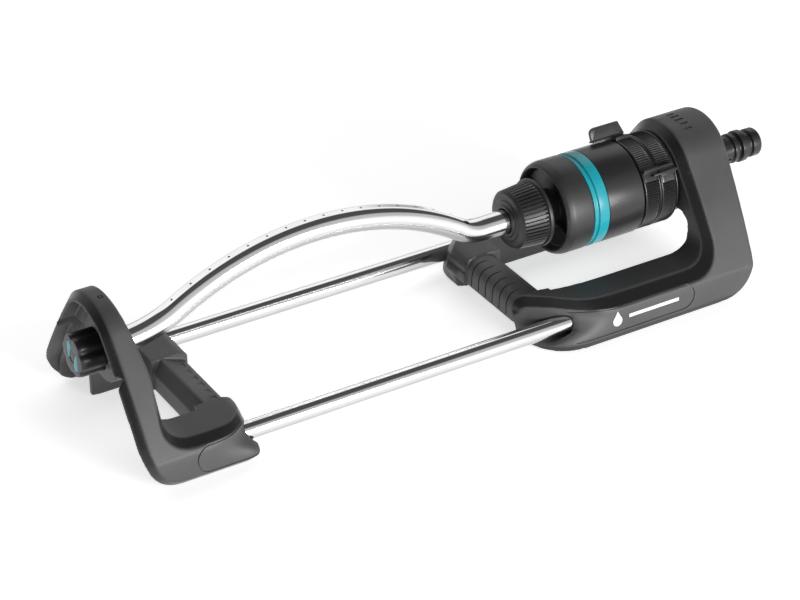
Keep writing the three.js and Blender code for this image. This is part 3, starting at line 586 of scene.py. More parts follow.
# --- moulded shapes
class Mould:
    """A solid given by its depth on a grid: negative inside, positive outside."""

    def __init__(self, low, high, step):
        self.low, self.step = np.array(low, float), step
        self.axes = [np.arange(a, b + step, step) for a, b in zip(low, high)]
        self.x = self.axes[0][:, None, None]
        self.y = self.axes[1][None, :, None]
        self.z = self.axes[2][None, None, :]

    def slab(self, axis, low, high):
        place = (self.x, self.y, self.z)["xyz".index(axis)]
        return np.maximum(low - place, place - high)

    def block(self, x, y, z):
        return np.maximum(np.maximum(self.slab("x", *x), self.slab("y", *y)), self.slab("z", *z))

    def rod(self, x, radius, y=0.0, z=AXIS_Z):
        """radius may be a pair: it then goes evenly from the first end to the other."""
        near, far = radius if isinstance(radius, tuple) else (radius, radius)
        share = np.clip((self.x - x[0]) / (x[1] - x[0]), 0, 1)
        size = near + (far - near) * share
        return np.maximum(np.hypot(self.y - y, self.z - z) - size, self.slab("x", *x))

    def pillar(self, x, y, z, radius):
        return np.maximum(np.hypot(self.x - x, self.y - y) - radius, self.slab("z", *z))

    def across(self, axis, outline):
        """Depth inside an outline that lies across an axis."""
        index = "xyz".index(axis)
        first, second = [a for k, a in enumerate(self.axes) if k != index]
        u, v = first[:, None], second[None, :]
        nearest = np.full((len(first), len(second)), 1e9)
        inside = np.zeros(nearest.shape, bool)
        for (au, av), (bu, bv) in zip(outline, outline[1:] + outline[:1]):
            du, dv = bu - au, bv - av
            length = du * du + dv * dv
            if length < 1e-12:
                continue
            t = np.clip(((u - au) * du + (v - av) * dv) / length, 0, 1)
            nearest = np.minimum(nearest, np.hypot(u - au - t * du, v - av - t * dv))
            if abs(dv) > 1e-12:
                crossed = (av > v) != (bv > v)
                inside ^= crossed & (u < au + (v - av) * du / dv)
        return np.expand_dims(np.where(inside, -nearest, nearest), index)

    def fill_pinches(self, depth):
        """Fills grid squares whose corners alternate, where the surface would touch itself."""
        for attempt in range(12):
            pinched = 0
            for u, v in ((0, 1), (1, 2), (2, 0)):
                corners = []
                for du, dv in ((0, 0), (1, 0), (1, 1), (0, 1)):
                    part = [slice(None)] * 3
                    part[u] = slice(1, None) if du else slice(None, -1)
                    part[v] = slice(1, None) if dv else slice(None, -1)
                    corners.append(depth[tuple(part)])
                a, b, c, d = (corner < 0 for corner in corners)
                odd = (a == c) & (b == d) & (a != b)
                pinched += int(odd.sum())
                for corner in corners:
                    corner[odd] = np.minimum(corner[odd], -0.1 * self.step)
            if not pinched:
                break

    def mesh(self, name, depth):
        """The closed surface where the depth is zero, as quads with one vertex per crossed cell."""
        shape = tuple(len(a) for a in self.axes)
        depth = np.broadcast_to(depth, shape).copy()
        for axis in range(3):
            edge = [slice(None)] * 3
            for side in (0, -1):
                edge[axis] = side
                depth[tuple(edge)] = np.maximum(depth[tuple(edge)], 0.1 * self.step)
        self.fill_pinches(depth)
        total = int(np.prod(shape))
        sums, counts, quads = np.zeros((3, total)), np.zeros(total), []
        strides = np.array([shape[1] * shape[2], shape[2], 1])
        for axis in range(3):
            low = [slice(None)] * 3
            high = [slice(None)] * 3
            low[axis], high[axis] = slice(None, -1), slice(1, None)
            a, b = depth[tuple(low)], depth[tuple(high)]
            where = np.argwhere((a < 0) != (b < 0))
            va, vb = a[tuple(where.T)], b[tuple(where.T)]
            cross = where.astype(float)
            cross[:, axis] += va / (va - vb)
            u, v = (axis + 1) % 3, (axis + 2) % 3
            corner = where @ strides
            cells = [corner - du * strides[u] - dv * strides[v]
                     for du, dv in ((0, 0), (1, 0), (1, 1), (0, 1))]
            for cell in cells:
                for k in range(3):
                    sums[k] += np.bincount(cell, cross[:, k], total)
                counts += np.bincount(cell, minlength=total)
            loops = np.stack(cells, 1)
            flip = va > 0
            loops[flip] = loops[flip][:, ::-1]
            quads.append(loops)
        used = np.flatnonzero(counts)
        order = np.zeros(total, int)
        order[used] = np.arange(len(used))
        verts = self.low + self.step * (sums[:, used] / counts[used]).T
        faces = order[np.concatenate(quads)]
        mesh = bpy.data.meshes.new(name)
        mesh.from_pydata((verts * MM).tolist(), [], faces.tolist())
        return add_object(name, mesh)


def both(a, b, soft=0.0):
    """Inside a and b, with the edge between them rounded by soft."""
    if soft:
        blend = np.clip(0.5 + 0.5 * (a - b) / soft, 0, 1)
        return b + (a - b) * blend + soft * blend * (1 - blend)
    return np.maximum(a, b)


def either(a, b, soft=0.0):
    """Inside a or b, with the corner between them filled by soft."""
    return -both(-a, -b, soft)


def without(a, *tools):
    for tool in tools:
        a = np.maximum(a, -tool)
    return a


def chamfered(a, b, width):
    """Inside a and b, with a flat chamfer between them."""
    return np.maximum(np.maximum(a, b), (a + b + width) * math.sqrt(0.5))


def sample(grid, field, points):
    """Values of a field at millimetre points."""
    full = np.broadcast_to(field, tuple(len(a) for a in grid.axes))
    cells = (points - grid.low) / grid.step
    base = np.clip(np.floor(cells).astype(int), 0, np.array(full.shape) - 2)
    share = cells - base
    total = 0
    for corner in np.ndindex(2, 2, 2):
        weight = np.prod(np.where(corner, share, 1 - share), axis=1)
        total = total + weight * full[tuple((base + corner).T)]
    return total


def mark_polish_and_shade(thing, grid, wall, side, width):
    """Marks the chamfer bands, where the wall and the side are both a little way off, and the skirt
    at the floor; these bands are made smoother and painted darker as shade.
    """
    points = np.array([v.co for v in thing.data.vertices]) / MM
    a, b = sample(grid, wall, points), sample(grid, side, points)
    c = width(points[:, 0], points[:, 2])
    on_chamfer = 1 - np.clip((np.abs(a + b + c) - 0.35) / 0.5, 0, 1)
    inside = np.clip((-a - 0.35) / 0.4, 0, 1) * np.clip((-b - 0.35) / 0.4, 0, 1)
    height = points[:, 2]
    # painted shade: the inward-leaning skirt at the floor is marked too
    skirt_polish_and_shade = (1 - np.clip((np.abs(a - 0.32 * height + 1.25) - 0.25) / 0.2, 0, 1)) * (height < 3.7)
    values = np.maximum(on_chamfer * inside, skirt_polish_and_shade).astype(np.float32)
    layer = thing.data.attributes.new("polish_and_shade", "FLOAT", "POINT")
    layer.data.foreach_set("value", values)


def thin_out(thing, ratio):
    step = thing.modifiers.new("thin_out", "DECIMATE")
    step.ratio = ratio
    bake_modifiers(thing)
    face_outwards(thing.data)


def feet_plan(arch_x, start, control, end):
    """Both feet of one end piece from above: square at the arch, then a curve to the nose."""
    return Outline(arch_x, -start[1]).draw(
        (start[0], -start[1]), ((control[0], -control[1]), (end[0], -end[1]), 30),
        (end[0], end[1]), (control, start, 30), (arch_x, start[1]),
    ).points


def leaning_plan(grid, low_plan, high_plan):
    """A plan that changes with height: the noses are cut back more towards their tops."""
    share = np.clip((grid.z - 4) / 16, 0, 1)
    share = share * share * (3 - 2 * share)
    low = grid.across("z", feet_plan(*low_plan))
    return low + (grid.across("z", feet_plan(*high_plan)) - low) * share


def skirt(wall, z):
    """The lowest few millimetres lean inwards as a smooth band."""
    return (wall - 0.32 * z + 1.25) / 1.05


# --- front foot
GRID_STEP = 0.7
HUB_R = 19.7
GROOVE = 0.9                     # width of the groove round each outer panel
GROOVE_DEPTH = 0.6
EDGE_CHAMFER = 4.4               # smooth band along the front, floor and inner rim
FINE_CHAMFER = 1.0               # everywhere else
SCREW_X = {end: sum(ends(f"frame_screw_{end}_near")) / 2 for end in ("front", "rear")}


def foot_side():
    return Outline(-199, 0).draw(
        ((-219.5, 0), (-222.5, 27)), (-223.6, 96), (-210.6, 96), (-205, 62), (-205, 38),
        ((-205, BEAM_TOP), (-190, BEAM_TOP)), (-160, BEAM_TOP),
        ((-151, BEAM_TOP - 1), (-148.2, 10)), ((-147.6, 0), (-156, 0)),
    ).points


def foot_chamfer(x, z):
    """The chamfer fades on the arch's rear edge."""
    behind = np.clip((x + 217) / 3, 0, 1) * np.clip((z - 30) / 25, 0, 1)
    return EDGE_CHAMFER + (FINE_CHAMFER - EDGE_CHAMFER) * behind


def tube_sockets(grid, x):
    """Snug bores for the two frame tubes, which come out through the rounded nose."""
    return [grid.rod(x, TUBE_R + 0.3, side * TUBE_Y, TUBE_Z) for side in (-1, 1)]


def scoops(grid, x, radii):
    """Hollows in the noses where the tubes come out, a little to the outer side."""
    return [grid.rod(x, radii, side * (TUBE_Y + 2), TUBE_Z) for side in (-1, 1)]


def well(grid, x, y, corner, z, soft=0.0):
    """An upright block with its far corners rounded, used to cut openings."""
    outline = soften(rectangle(x, y), corner * 1.3, 8)
    return both(grid.across("z", outline), grid.slab("z", *z), soft)


def screw_holes(grid, end):
    """A counterbore and a clearance hole under each tube."""
    return [grid.pillar(SCREW_X[end], side * TUBE_Y, *hole)
            for hole in (((-1, 3.5), 3.7), ((-1, 12), 2)) for side in (-1, 1)]


def moulding(node, low_plan, high_plan, outline, chamfer):
    """The outer form of an end piece: its grid, its walls, its side and the solid itself."""
    low, high = span(node)
    margin = Vector((2, 2, 2))
    grid = Mould(low - margin, high + margin, GRID_STEP)
    plan = leaning_plan(grid, low_plan, high_plan)
    wall = both(grid.across("x", arch_outline(0, -30)), plan, 3)
    side = grid.across("y", outline)
    body = both(chamfered(wall, side, chamfer(grid.x, grid.z)), grid.slab("z", 0, 200))
    return grid, wall, side, both(body, skirt(wall, grid.z))


def bored(grid, body, end, scoop, soft, sockets, *bores):
    """Cuts the scoops, the tube sockets, the screw holes and any other bores."""
    for tool in scoops(grid, *scoop):
        body = both(body, -tool, soft)
    return without(body, *bores, *tube_sockets(grid, sockets), *screw_holes(grid, end))


def stadium_groove(x, z, side):
    """A groove round a long panel on the outer face of a beam, open at one end."""
    radius, middle = (z[1] - z[0]) / 2, (z[0] + z[1]) / 2
    toward = 1 if x[1] > x[0] else -1
    centre = x[0] + toward * radius
    start = -math.pi / 2
    tools = []
    for grow, reach in ((GROOVE / 2, (48, FOOT_Y + 2)), (-GROOVE / 2, (46, FOOT_Y + 4))):
        shape = Outline(x[1], middle - radius - grow)
        shape.draw((centre, middle - radius - grow))
        shape.arc((centre, middle), radius + grow, start, start - toward * math.pi, 24)
        shape.draw((x[1], middle + radius + grow))
        tools.append(pulled("groove", shape.points, "y", sorted(side * w for w in reach)))
    return cut(*tools)


def on_skin(things, grid, wall, depth):
    """Keeps only the part of each tool that lies less than depth under a moulded wall."""
    core = grid.mesh("core", wall + depth)
    face_outwards(core.data)
    things = [cut(thing, copied(core)) for thing in things]
    drop_object(core)
    return things


def front_foot():
    grid, wall, side, body = moulding(
        "front_foot", (-230, (-162, 69), (-148, 69), (-147.8, 48)),
        (-230, (-184, 69), (-152, 61), (-149.5, 36)), foot_side(), foot_chamfer)
    bar = Outline(-175.5, 6).draw(
        (-175.5, 17), (-171.2, 24.2), ((-170.5, 25), (-169, 24.6), 6), (-157.6, 20.6),
        ((-155.2, 19.8), (-155, 17), 8), (-155, 6))
    openings = {
        "lip": both(grid.across("x", arch_outline(LIP, -10)),
                    grid.block((-230, -214), (-70, 70), (-5, 100)), 0.8),
        "under_arch": both(grid.across("x", arch_outline(STRAP, -10)),
                           grid.block((-230, -204.6), (-70, 70), (-5, 38)), 1),
        "window": well(grid, (-230, -176.5), BETWEEN_BEAMS, 8, (-1, 60), 0.8),
        "beyond": well(grid, (-154, -130), BETWEEN_BEAMS, 7, (-1, 60), 0.8),
        "over_bar": both(well(grid, (-180, -150), (-34, 17.5), 0.5, (5, 60)),
                         -grid.across("y", bar.points)),
        "under_bar": well(grid, (-180, -150), BETWEEN_BEAMS, 1, (-5, 6)),
        "far_hollow": grid.block((-206, -193), (41.5, 60), (-1, 19)),
        "near_hollow": grid.block((-206, -193), (-60, -41.5), (-1, 19)),
    }
    body = without(body, *openings.values())
    boss = without(grid.rod((-214.3, -205), 20), grid.rod((-216, -200), 9))
    body = bored(grid, either(body, boss, 1.2), "front", ((-156, -146), (5.2, 8.6)), 2,
                 (-191.5, -140), grid.rod((-208, -190), 16), grid.rod((-230, -190), 9.6))
    foot = grid.mesh("front_foot_moulding", body)
    thin_out(foot, 0.5)
    grooves = [stadium_groove((-192, -146), (5, 21), s) for s in (-1, 1)]
    cut(foot, *on_skin(grooves, grid, wall, GROOVE_DEPTH), dimple(), *crossbar_marks())
    mark_polish_and_shade(foot, grid, wall, side, foot_chamfer)
    return foot


def dimple():
    """Small round moulding mark on the crown of the arch."""
    centre, top = (-214, -3), ARCH_CENTRE_Z + ARCH_RADIUS
    outer = pulled("dimple", circle(centre, 1.5, 24), "z", (top - 1.2, top + 3))
    inner = pulled("dimple_core", circle(centre, 0.8, 24), "z", (top - 2, top + 4))
    return cut(outer, inner)


def slope_tool(name, along, y):
    """A box cut square into the sloping top of the crossbar; along runs down the slope."""
    top, foot = (-169, 24.6), (-157.6, 20.6)
    lean = math.atan2(top[1] - foot[1], foot[0] - top[0])
    return leaned(pulled(name, rectangle(along, y), "z", (-0.5, 3)), lean, top)


def crossbar_marks():
    """Six engraved ticks with short bases, down the rear edge of the crossbar."""
    return [
        join(slope_tool("tick", (6.6, 9.8), (y - 0.35, y + 0.35)),
             slope_tool("tick_base", (9.5, 10.2), (y - 2.4, y + 2.4)))
        for y in (11 - 7.6 * k for k in range(6))
    ]


# --- rear frame
def rear_side():
    return Outline(50, 0).draw(
        (158, 0), ((182, 0), (184.6, 24)), (190.4, 96), (155, 96), (155, 41),
        ((155, BEAM_TOP), (139, BEAM_TOP)), (96, BEAM_TOP), ((70, BEAM_TOP), (52, 28.6)),
        ((50, 29), (46, 29)), (38, 29), ((29, 29), (28, 20)), (26.5, 12), ((28, 0), (48, 0)),
    ).points


def rear_chamfer(x, z):
    """Wide along the inner edge of the hood, upright and beams; fine at the back and the floor."""
    inner = np.clip((z - 14) / 6, 0, 1) * np.clip((176 - x) / 8, 0, 1)
    return FINE_CHAMFER + (5.4 - FINE_CHAMFER) * inner


def rear_frame():
    grid, wall, side, body = moulding(
        "rear_frame", (195, (74, 69), (37, 68), (33, 38)),
        (195, (86, 69), (50, 56), (27, 34)), rear_side(), rear_chamfer)
    hood = grid.across("x", [(-38, -1), (-38, 30), (-35.5, 43), (-30, 46.5),
                             (30, 46.5), (35.5, 43), (38, 30), (38, -1)])
    bar = Outline(31, 12).draw(
        (31, 19), ((31.4, 28.2), (39, 28.2), 12), (44, 28.2), ((52.8, 27.6), (53.5, 19), 12),
        (53.5, 12))
    openings = {
        "under_hood": both(without(hood, grid.rod((130, 210), 24)), grid.slab("x", 140, 200), 1),
        "window": well(grid, (55, 153.7), BETWEEN_BEAMS, 7, (-1, 60), 0.8),
        "before": well(grid, (0, 29.5), (-36, 27), 6, (-1, 60), 0.8),
        "over_bar": both(well(grid, (25, 60), (-36, 14.5), 0.5, (11, 60)),
                         -grid.across("y", bar.points)),
        "under_bar": well(grid, (20, 60), (-36, 28), 3, (-5, 12)),
    }
    body = without(body, *openings.values())
    body = bored(grid, body, "rear", ((22, 57), (10, 5.4)), 4, (20, 87.5),
                 grid.rod((140, 183), HUB_R + 0.4), grid.rod((170, 200), 17.2))
    rear = grid.mesh("rear_frame_moulding", body)
    thin_out(rear, 0.4)
    grooves = [stadium_groove((139, 56), (5.5, 21), s) for s in (-1, 1)]
    marks = [pulled("mark", outline, "y", (-72, -60)) for outline in mark_outlines()]
    cut(rear, *on_skin(grooves, grid, wall, GROOVE_DEPTH), *on_skin(marks, grid, wall, 0.25),
        *grip_ribs(), *hood_bars())
    mark_polish_and_shade(rear, grid, wall, side, rear_chamfer)
    return rear


MARK_DROP = (84, 12.0, 3.2)       # x, z and radius
MARK_BAR = ((92, 128), (12.2, 14.6))


def mark_outlines():
    """A plain drop and a plain bar."""
    x, z, size = MARK_DROP
    tip = (x, z + size * 2.1)
    drop = Outline(*tip)
    drop.draw(((x + size * 0.35, z + size * 1.3), (x + size * 0.87, z + size * 0.5), 8))
    drop.arc((x, z), size, math.radians(30), math.radians(-210), 28)
    drop.draw(((x - size * 0.35, z + size * 1.3), tip, 8))
    return [drop.points[:-1], rectangle(*MARK_BAR)]


def encloses(outline, u, v):
    """Whether a point lies inside a closed outline."""
    inside = False
    for (au, av), (bu, bv) in zip(outline, outline[1:] + outline[:1]):
        if (av > v) != (bv > v):
            inside ^= u < au + (v - av) * (bu - au) / (bv - av)
    return inside


def paint_mark(thing, look):
    """Paints the floor of the recessed mark."""
    thing.data.materials.append(look)
    outlines = mark_outlines()
    for face in thing.data.polygons:
        here = face.center / MM
        if here.y > -60 or face.normal.y > -0.5:
            continue
        if any(encloses(outline, here.x, here.z) for outline in outlines):
            face.material_index = 1


def grip_ribs():
    """Six finger grooves that start on top of the grip and run down its front face."""
    shape = Outline(42, 29.5).draw(
        (42, 28.1), (39.5, 27.4), ((31.9, 27.4), (31.6, 19), 12), (31.6, 14), (28, 13), (28, 29.5))
    return [pulled("finger_groove", shape.points, "y", (y, y + 1.0))
            for y in (7.4 * k - 29 for k in range(6))]


def hood_bars():
    """Five plain engraved bars on the crown of the hood."""
    crown = ARCH_CENTRE_Z + ARCH_RADIUS
    return [
        turned_by(pulled("hood_bar", rectangle((168.5, 174), (-0.8, 0.8)), "z",
                         (crown - 0.6, crown + 3)), 8 * k - 14, ARCH_CENTRE_Z)
        for k in range(5)
    ]


place_piece(front_foot(), "front_foot", sharp=50)
rear = place_piece(rear_frame(), "rear_frame", sharp=50)
paint_mark(rear, PAINT_LOOK)


# --- tubes
def mark_drawn(thing, path):
    """Stores each vertex's place along a centreline in the XZ plane, and beside and above it.

    path is a list of points (x, y, z), in millimetres.
    """
    line = np.array(path)
    steps = np.linalg.norm(np.diff(line, axis=0), axis=1)
    run = np.concatenate([[0], np.cumsum(steps)])
    points = np.array([v.co for v in thing.data.vertices]) / MM
    nearest = np.empty(len(points), int)
    for first in range(0, len(points), 4000):
        part = points[first:first + 4000, None, (0, 2)] - line[None, :, (0, 2)]
        nearest[first:first + 4000] = np.argmin((part ** 2).sum(2), axis=1)
    offset = points - line[nearest]
    up = np.sign(offset[:, 2]) * np.hypot(offset[:, 0] * (np.abs(offset[:, 2]) > 1e-6), offset[:, 2])
    values = np.stack([run[nearest], offset[:, 1], up], 1) * MM
    layer = thing.data.attributes.new("drawn", "FLOAT_VECTOR", "POINT")
    layer.data.foreach_set("vector", values.astype(np.float32).ravel())
    return thing


def frame_tube(name, side):
    x = ends(name)
    profile = soften([(x[0], TUBE_R - 1), (x[0], TUBE_R), (x[1], TUBE_R), (x[1], TUBE_R - 1)], 0.25)
    tube = revolve(f"{name}_polished", profile, 128, side * TUBE_Y, TUBE_Z)
    return mark_drawn(tube, [(place, side * TUBE_Y, TUBE_Z) for place in np.linspace(*x, 400)])


for name, side in (("frame_tube_near", -1), ("frame_tube_far", 1)):
    place_piece(frame_tube(name, side), name)

SPRAY_R = 7.25
SPRAY_BORE = 6.2
SPRAY_FLAT = 6.9                 # height of the pressed flat above the tube's centreline
SPRAY_CREST = (-80, 91.2)
SPRAY_ARC_R = 172.7
SPRAY_BEND_R = (76, 28)
NOZZLE_COUNT = 16
NOZZLE_PITCH = 11.6
NOZZLE_R = 0.7


def spray_path(step=1.2):
    """Points of the centreline in the XZ plane, each with the slope there."""
    x0, x1 = ends("spray_tube")
    arc_x, arc_z = SPRAY_CREST[0], SPRAY_CREST[1] - SPRAY_ARC_R
    bends = []
    for radius, way in zip(SPRAY_BEND_R, (-1, 1)):
        rise = AXIS_Z + radius - arc_z
        run = math.sqrt((SPRAY_ARC_R + radius) ** 2 - rise ** 2)
        bends.append((arc_x + way * run, radius, math.atan2(run, rise)))
    (front_x, front_r, front_turn), (rear_x, rear_r, rear_turn) = bends
    stretches = [
        (front_x - x0, 0), (front_r * front_turn, 1 / front_r),
        (SPRAY_ARC_R * (front_turn + rear_turn), -1 / SPRAY_ARC_R),
        (rear_r * rear_turn, 1 / rear_r), (x1 - rear_x, 0),
    ]

    def moved(x, z, slope, run, bend):
        if not bend:
            return x + run * math.cos(slope), z + run * math.sin(slope), slope
        turned = slope + bend * run
        return (x + (math.sin(turned) - math.sin(slope)) / bend,
                z - (math.cos(turned) - math.cos(slope)) / bend, turned)

    here = (x0, AXIS_Z, 0.0)
    points = []
    for length, bend in stretches:
        count = max(2, round(length / step))
        points += [moved(*here, length * k / count, bend) for k in range(count)]
        here = moved(*here, length, bend)
    points.append((x1, AXIS_Z, 0.0))
    return points


def spray_tube():
    """A round tube, pressed flat on top where the nozzles are."""
    count = 96
    reach = NOZZLE_PITCH * (NOZZLE_COUNT - 1) / 2
    rings = []
    path = spray_path()
    for radius, order in ((SPRAY_R, path), (SPRAY_BORE, path[::-1])):
        for x, z, slope in order:
            past = abs(x - SPRAY_CREST[0]) - reach
            press = 1 - min(1, max(0, (past - 3) / 14))
            press = press * press * (3 - 2 * press)
            flat = radius - (SPRAY_R - SPRAY_FLAT) * press
            ring = []
            for k in range(count):
                a = TAU * (k + 0.5) / count
                up = min(radius * math.cos(a), flat)
                ring.append((x - up * math.sin(slope), -radius * math.sin(a),
                             z + up * math.cos(slope)))
            rings.append(ring)
    tube = cut(lofted("spray_tube_polished", rings), *nozzle_tools())
    return mark_drawn(tube, [(x, 0, z) for x, z, slope in path])


def nozzle_tools():
    """Short pins through the pressed flat, square to the arc."""
    centre = (SPRAY_CREST[0], SPRAY_CREST[1] - SPRAY_ARC_R)
    reach = (SPRAY_ARC_R + 2.5, SPRAY_ARC_R + 9)
    return [
        leaned(pulled("nozzle", circle((0, 0), NOZZLE_R, 20), "z", reach),
               math.asin((k - (NOZZLE_COUNT - 1) / 2) * NOZZLE_PITCH / SPRAY_ARC_R), centre)
        for k in range(NOZZLE_COUNT)
    ]


place_piece(spray_tube(), "spray_tube", sharp=40)


# --- union nut
def union_nut():
    x0, x1 = ends("union_nut")
    flange_r = outer_radius("union_nut")
    ribs = 48
    front = [(x0, 7.6), (x0, 9.6), (x0 + 1.0, 9.8), (x0 + 1.0, 12.3), (x0 + 1.8, 12.6)]
    cone = [(x0 + 2.0, 16.4), (x0 + 3.2, 17.8)]
    flange = [(x1 - 2.6, 19.4), (x1 - 2.4, flange_r), (x1, flange_r), (x1, 12), (x0 + 5.5, 12)]
    back = [(x0 + 5.5, 7.6)]
    ribbed_from, ribbed_to = x0 + 3.4, x1 - 2.9
    steps = 16
    side = [
        (ribbed_from + (ribbed_to - ribbed_from) * k / steps, 17.9 + 1.4 * k / steps)
        for k in range(steps + 1)
    ]
    body = soften(front + cone, 0.5)
    profile = body + side + soften(flange + back, 0.5)

    def ripple(x, r, a):
        inside = min((x - ribbed_from) / 1.0 + 0.001, (ribbed_to - x) / 0.8 + 0.001)
        if r < 17.5 or r > 19.35 or inside <= 0:
            return r
        wave = math.cos(a * ribs)
        groove = min(1, max(0, (-0.05 - wave) / 0.3))
        return r - 1.15 * min(1, inside) * groove

    return revolve("union_nut_ribbed", profile, ribs * 14, ripple=ripple)


place_piece(union_nut(), "union_nut")


# --- gear housing
BARREL_R = outer_radius("barrel_rear_shell")
BARREL_INNER = BARREL_R - 2.2


def radial_block(name, x, half_width, radii, angle):
    outline = rectangle((-half_width, half_width), [AXIS_Z + r for r in radii])
    return turned_by(pulled(name, outline, "x", x), angle)


def barrel_front():
    x0, x1 = ends("barrel_front_shell")
    rim = x0 + 12.5
    profile = [
        (x0, 8.6), (x0, 11.6), (rim + 5.5, 11.6), (rim + 5.5, 23.8), (rim + 2, 24.6), (rim, 25.2),
        (rim, 26.2), (rim + 1.4, 27.6), (rim + 4.5, BARREL_R), (x1, BARREL_R), (x1, BARREL_INNER),
        (82.4, BARREL_INNER), (82.4, 8.6),
    ]
    shell = revolve("barrel_front_moulding", soften(profile, 0.8), 160)
    webs = [radial_block("web", (rim + 2.2, rim + 6), 0.6, (11, 25.2), 20 + 90 * k)
            for k in range(4)]
    return join(shell, *webs)


def trim_band():
    x0, x1 = ends("trim_band")
    r = outer_radius("trim_band")
    profile = soften([
        (x0, BARREL_INNER), (x0, r - 0.15), (x0 + 0.9, r - 0.15), (x0 + 1.3, r - 1.1),
        (x0 + 3.2, r - 1.1), (x0 + 3.6, r), (x1, r), (x1, BARREL_INNER),
    ], 0.22)
    return revolve("trim_band_moulding", profile, 160)


def barrel_rear():
    x0, x1 = ends("barrel_rear_shell")
    profile = soften([
        (x0, BARREL_INNER), (x0, BARREL_R), (x1 - 0.3, BARREL_R), (x1, BARREL_R - 0.8),
        (x1, 14.3), (x1 - 2.9, 14.3), (x1 - 2.9, BARREL_INNER),
    ], 0.35)
    shell = revolve("barrel_rear_moulding", profile, 160)
    lever = span("reversing_lever")
    middle = (lever[0].y + lever[1].y) / 2, (lever[0].z + lever[1].z) / 2
    angle = math.degrees(math.atan2(-middle[0], middle[1] - AXIS_Z))
    slot = radial_block("lever_slot", (119.4, 123.2), 3.6, (20, 32), angle)
    return cut(shell, slot)


place_piece(barrel_front(), "barrel_front_shell")
place_piece(trim_band(), "trim_band")
place_piece(barrel_rear(), "barrel_rear_shell")


# --- range rings
RING_INNER = 22.75
RING_R = 28.2


def ribbed_ring(name, x, smooth_ranges):
    """A ring with a bright bead on each edge and fine ribs between them."""
    ribs = 112
    edge, bed = 1.2, RING_R - 1.05
    steps = 8
    inner_side = [
        (x[0] + edge + 0.3 + (x[1] - x[0] - 2 * edge - 0.6) * k / steps, bed)
        for k in range(steps + 1)
    ]
    profile = (
        soften([(x[0], RING_INNER), (x[0], RING_R), (x[0] + edge, RING_R)], 0.5)
        + inner_side
        + soften([(x[1] - edge, RING_R), (x[1], RING_R), (x[1], RING_INNER)], 0.5)
    )

    def ripple(place, r, a):
        if abs(r - bed) > 0.01:
            return r
        degrees = (math.degrees(a) + 180) % 360 - 180
        if any(low <= degrees <= high for low, high in smooth_ranges):
            return RING_R - 0.25
        return bed + 0.95 * (0.5 + 0.5 * math.cos(a * ribs))

    return revolve(name, profile, ribs * 8, ripple=ripple)


def bar(name, x, radii, half_width, angle, round_by=0.35):
    """A rounded radial block, turned to its angle from the top."""
    return turned_by(bevel(radial_block(name, x, half_width, radii, 0), round_by), angle)


def ring_parts(x, rail_x, angle, stop_angle):
    """The thumb bar with its raised pad, and the stop."""
    return [
        bar("pad", (x[0] + 0.4, x[1] - 0.4), (25.5, 29.2), 1.7, angle),
        bar("rail", rail_x, (28.7, 31), 0.8, angle, 0.3),
        bar("stop", (x[0] + 1, x[1] - 1), (25.5, 31.3), 1, stop_angle),
    ]


def front_ring():
    x = (129.7, 141.2)
    ring = ribbed_ring("range_ring_front_ribbed", x, [(40, 62), (-38, -12)])
    root = bar("root", (130.4, 140.6), (25.2, 29.4), 6.5, -25)
    shelf = bar("shelf", (117, 139), (29.2, 30.4), 2.6, -25, 0.4)
    shape = Outline(117.2, AXIS_Z + 29.6).draw(
        (117.0, AXIS_Z + 34), ((117, AXIS_Z + 38), (121.5, AXIS_Z + 38), 8),
        (137.4, AXIS_Z + 38), (140.4, AXIS_Z + 30))
    fin = turned_by(bevel(pulled("fin", shape.points, "y", (-1.2, 1.2)), 0.45), -25)
    return join(ring, *ring_parts(x, (130.2, 151), 49, -74), root, shelf, fin)


def rear_ring():
    x = (141.6, 153.4)
    ring = ribbed_ring("range_ring_rear_ribbed", x, [(47, 68)])
    return join(ring, *ring_parts(x, (136, 153.4), 56, 174))


place_piece(front_ring(), "range_ring_front")
place_piece(rear_ring(), "range_ring_rear")


# --- end knob
def knob():
    x0, x1 = ends("end_knob")[0], -216
    r = outer_radius("end_knob")
    lobes = 6
    profile = [(x0, 0)] + soften([(x0 + 0.02, 4), (x0 + 0.02, r - 0.6), (x0 + 2.0, r), (x1, r),
                                  (x1, 3.2)], 0.5)[1:] + [(x1, 3.2), (-205, 3.2), (-205, 0)]

    def ripple(x, radius, a):
        dent = (0.5 + 0.5 * math.cos(lobes * a)) ** 3
        share = max(0.0, (radius - 6) / (r - 6))
        fluting = 0.16 * math.cos(a * 48) * (1 if x0 + 2.5 < x < x1 - 1 else 0)
        return radius - share * (1.5 * dent + fluting)

    return revolve("end_knob_fluted", profile, 288, ripple=ripple)


def knob_blades(grow, x):
    """The two curved blade shapes on the knob's end face, grown a little for their pockets."""
    shape = [(1.9 - grow, AXIS_Z + 4.6), (2.6 - grow, AXIS_Z + 6.9 + grow),
             (4.6, AXIS_Z + 7.8 + grow), (6.6 + grow, AXIS_Z + 6.6 + grow),
             (7.2 + grow, AXIS_Z + 4.4), (5.2 + grow, AXIS_Z - 3.6 - grow),
             (4.4, AXIS_Z - 4.3 - grow), (3.6 - grow, AXIS_Z - 3.4 - grow)]
    outline = soften(shape, 0.6, 3)
    return [turned_by(pulled("blade", outline, "x", x), turn) for turn in (9, 189)]


def build_knob():
    x0 = ends("end_knob")[0]
    body = knob()
    needle = pulled("needle_hole", circle((0, AXIS_Z), 1, 24), "x", (-222, -200))
    cut(body, needle, *knob_blades(0.3, (x0 - 1, x0 + 1.8)))
    place_piece(body, "end_knob", sharp=35, look=KNOB_LOOK)
    inserts = knob_blades(0, (x0 + 0.02, x0 + 1.5))
    for node, insert in zip(("knob_insert_upper", "knob_insert_lower"), inserts):
        insert.name = f"{node}_moulding"
        place_piece(bevel(insert, 0.2), node)


build_knob()


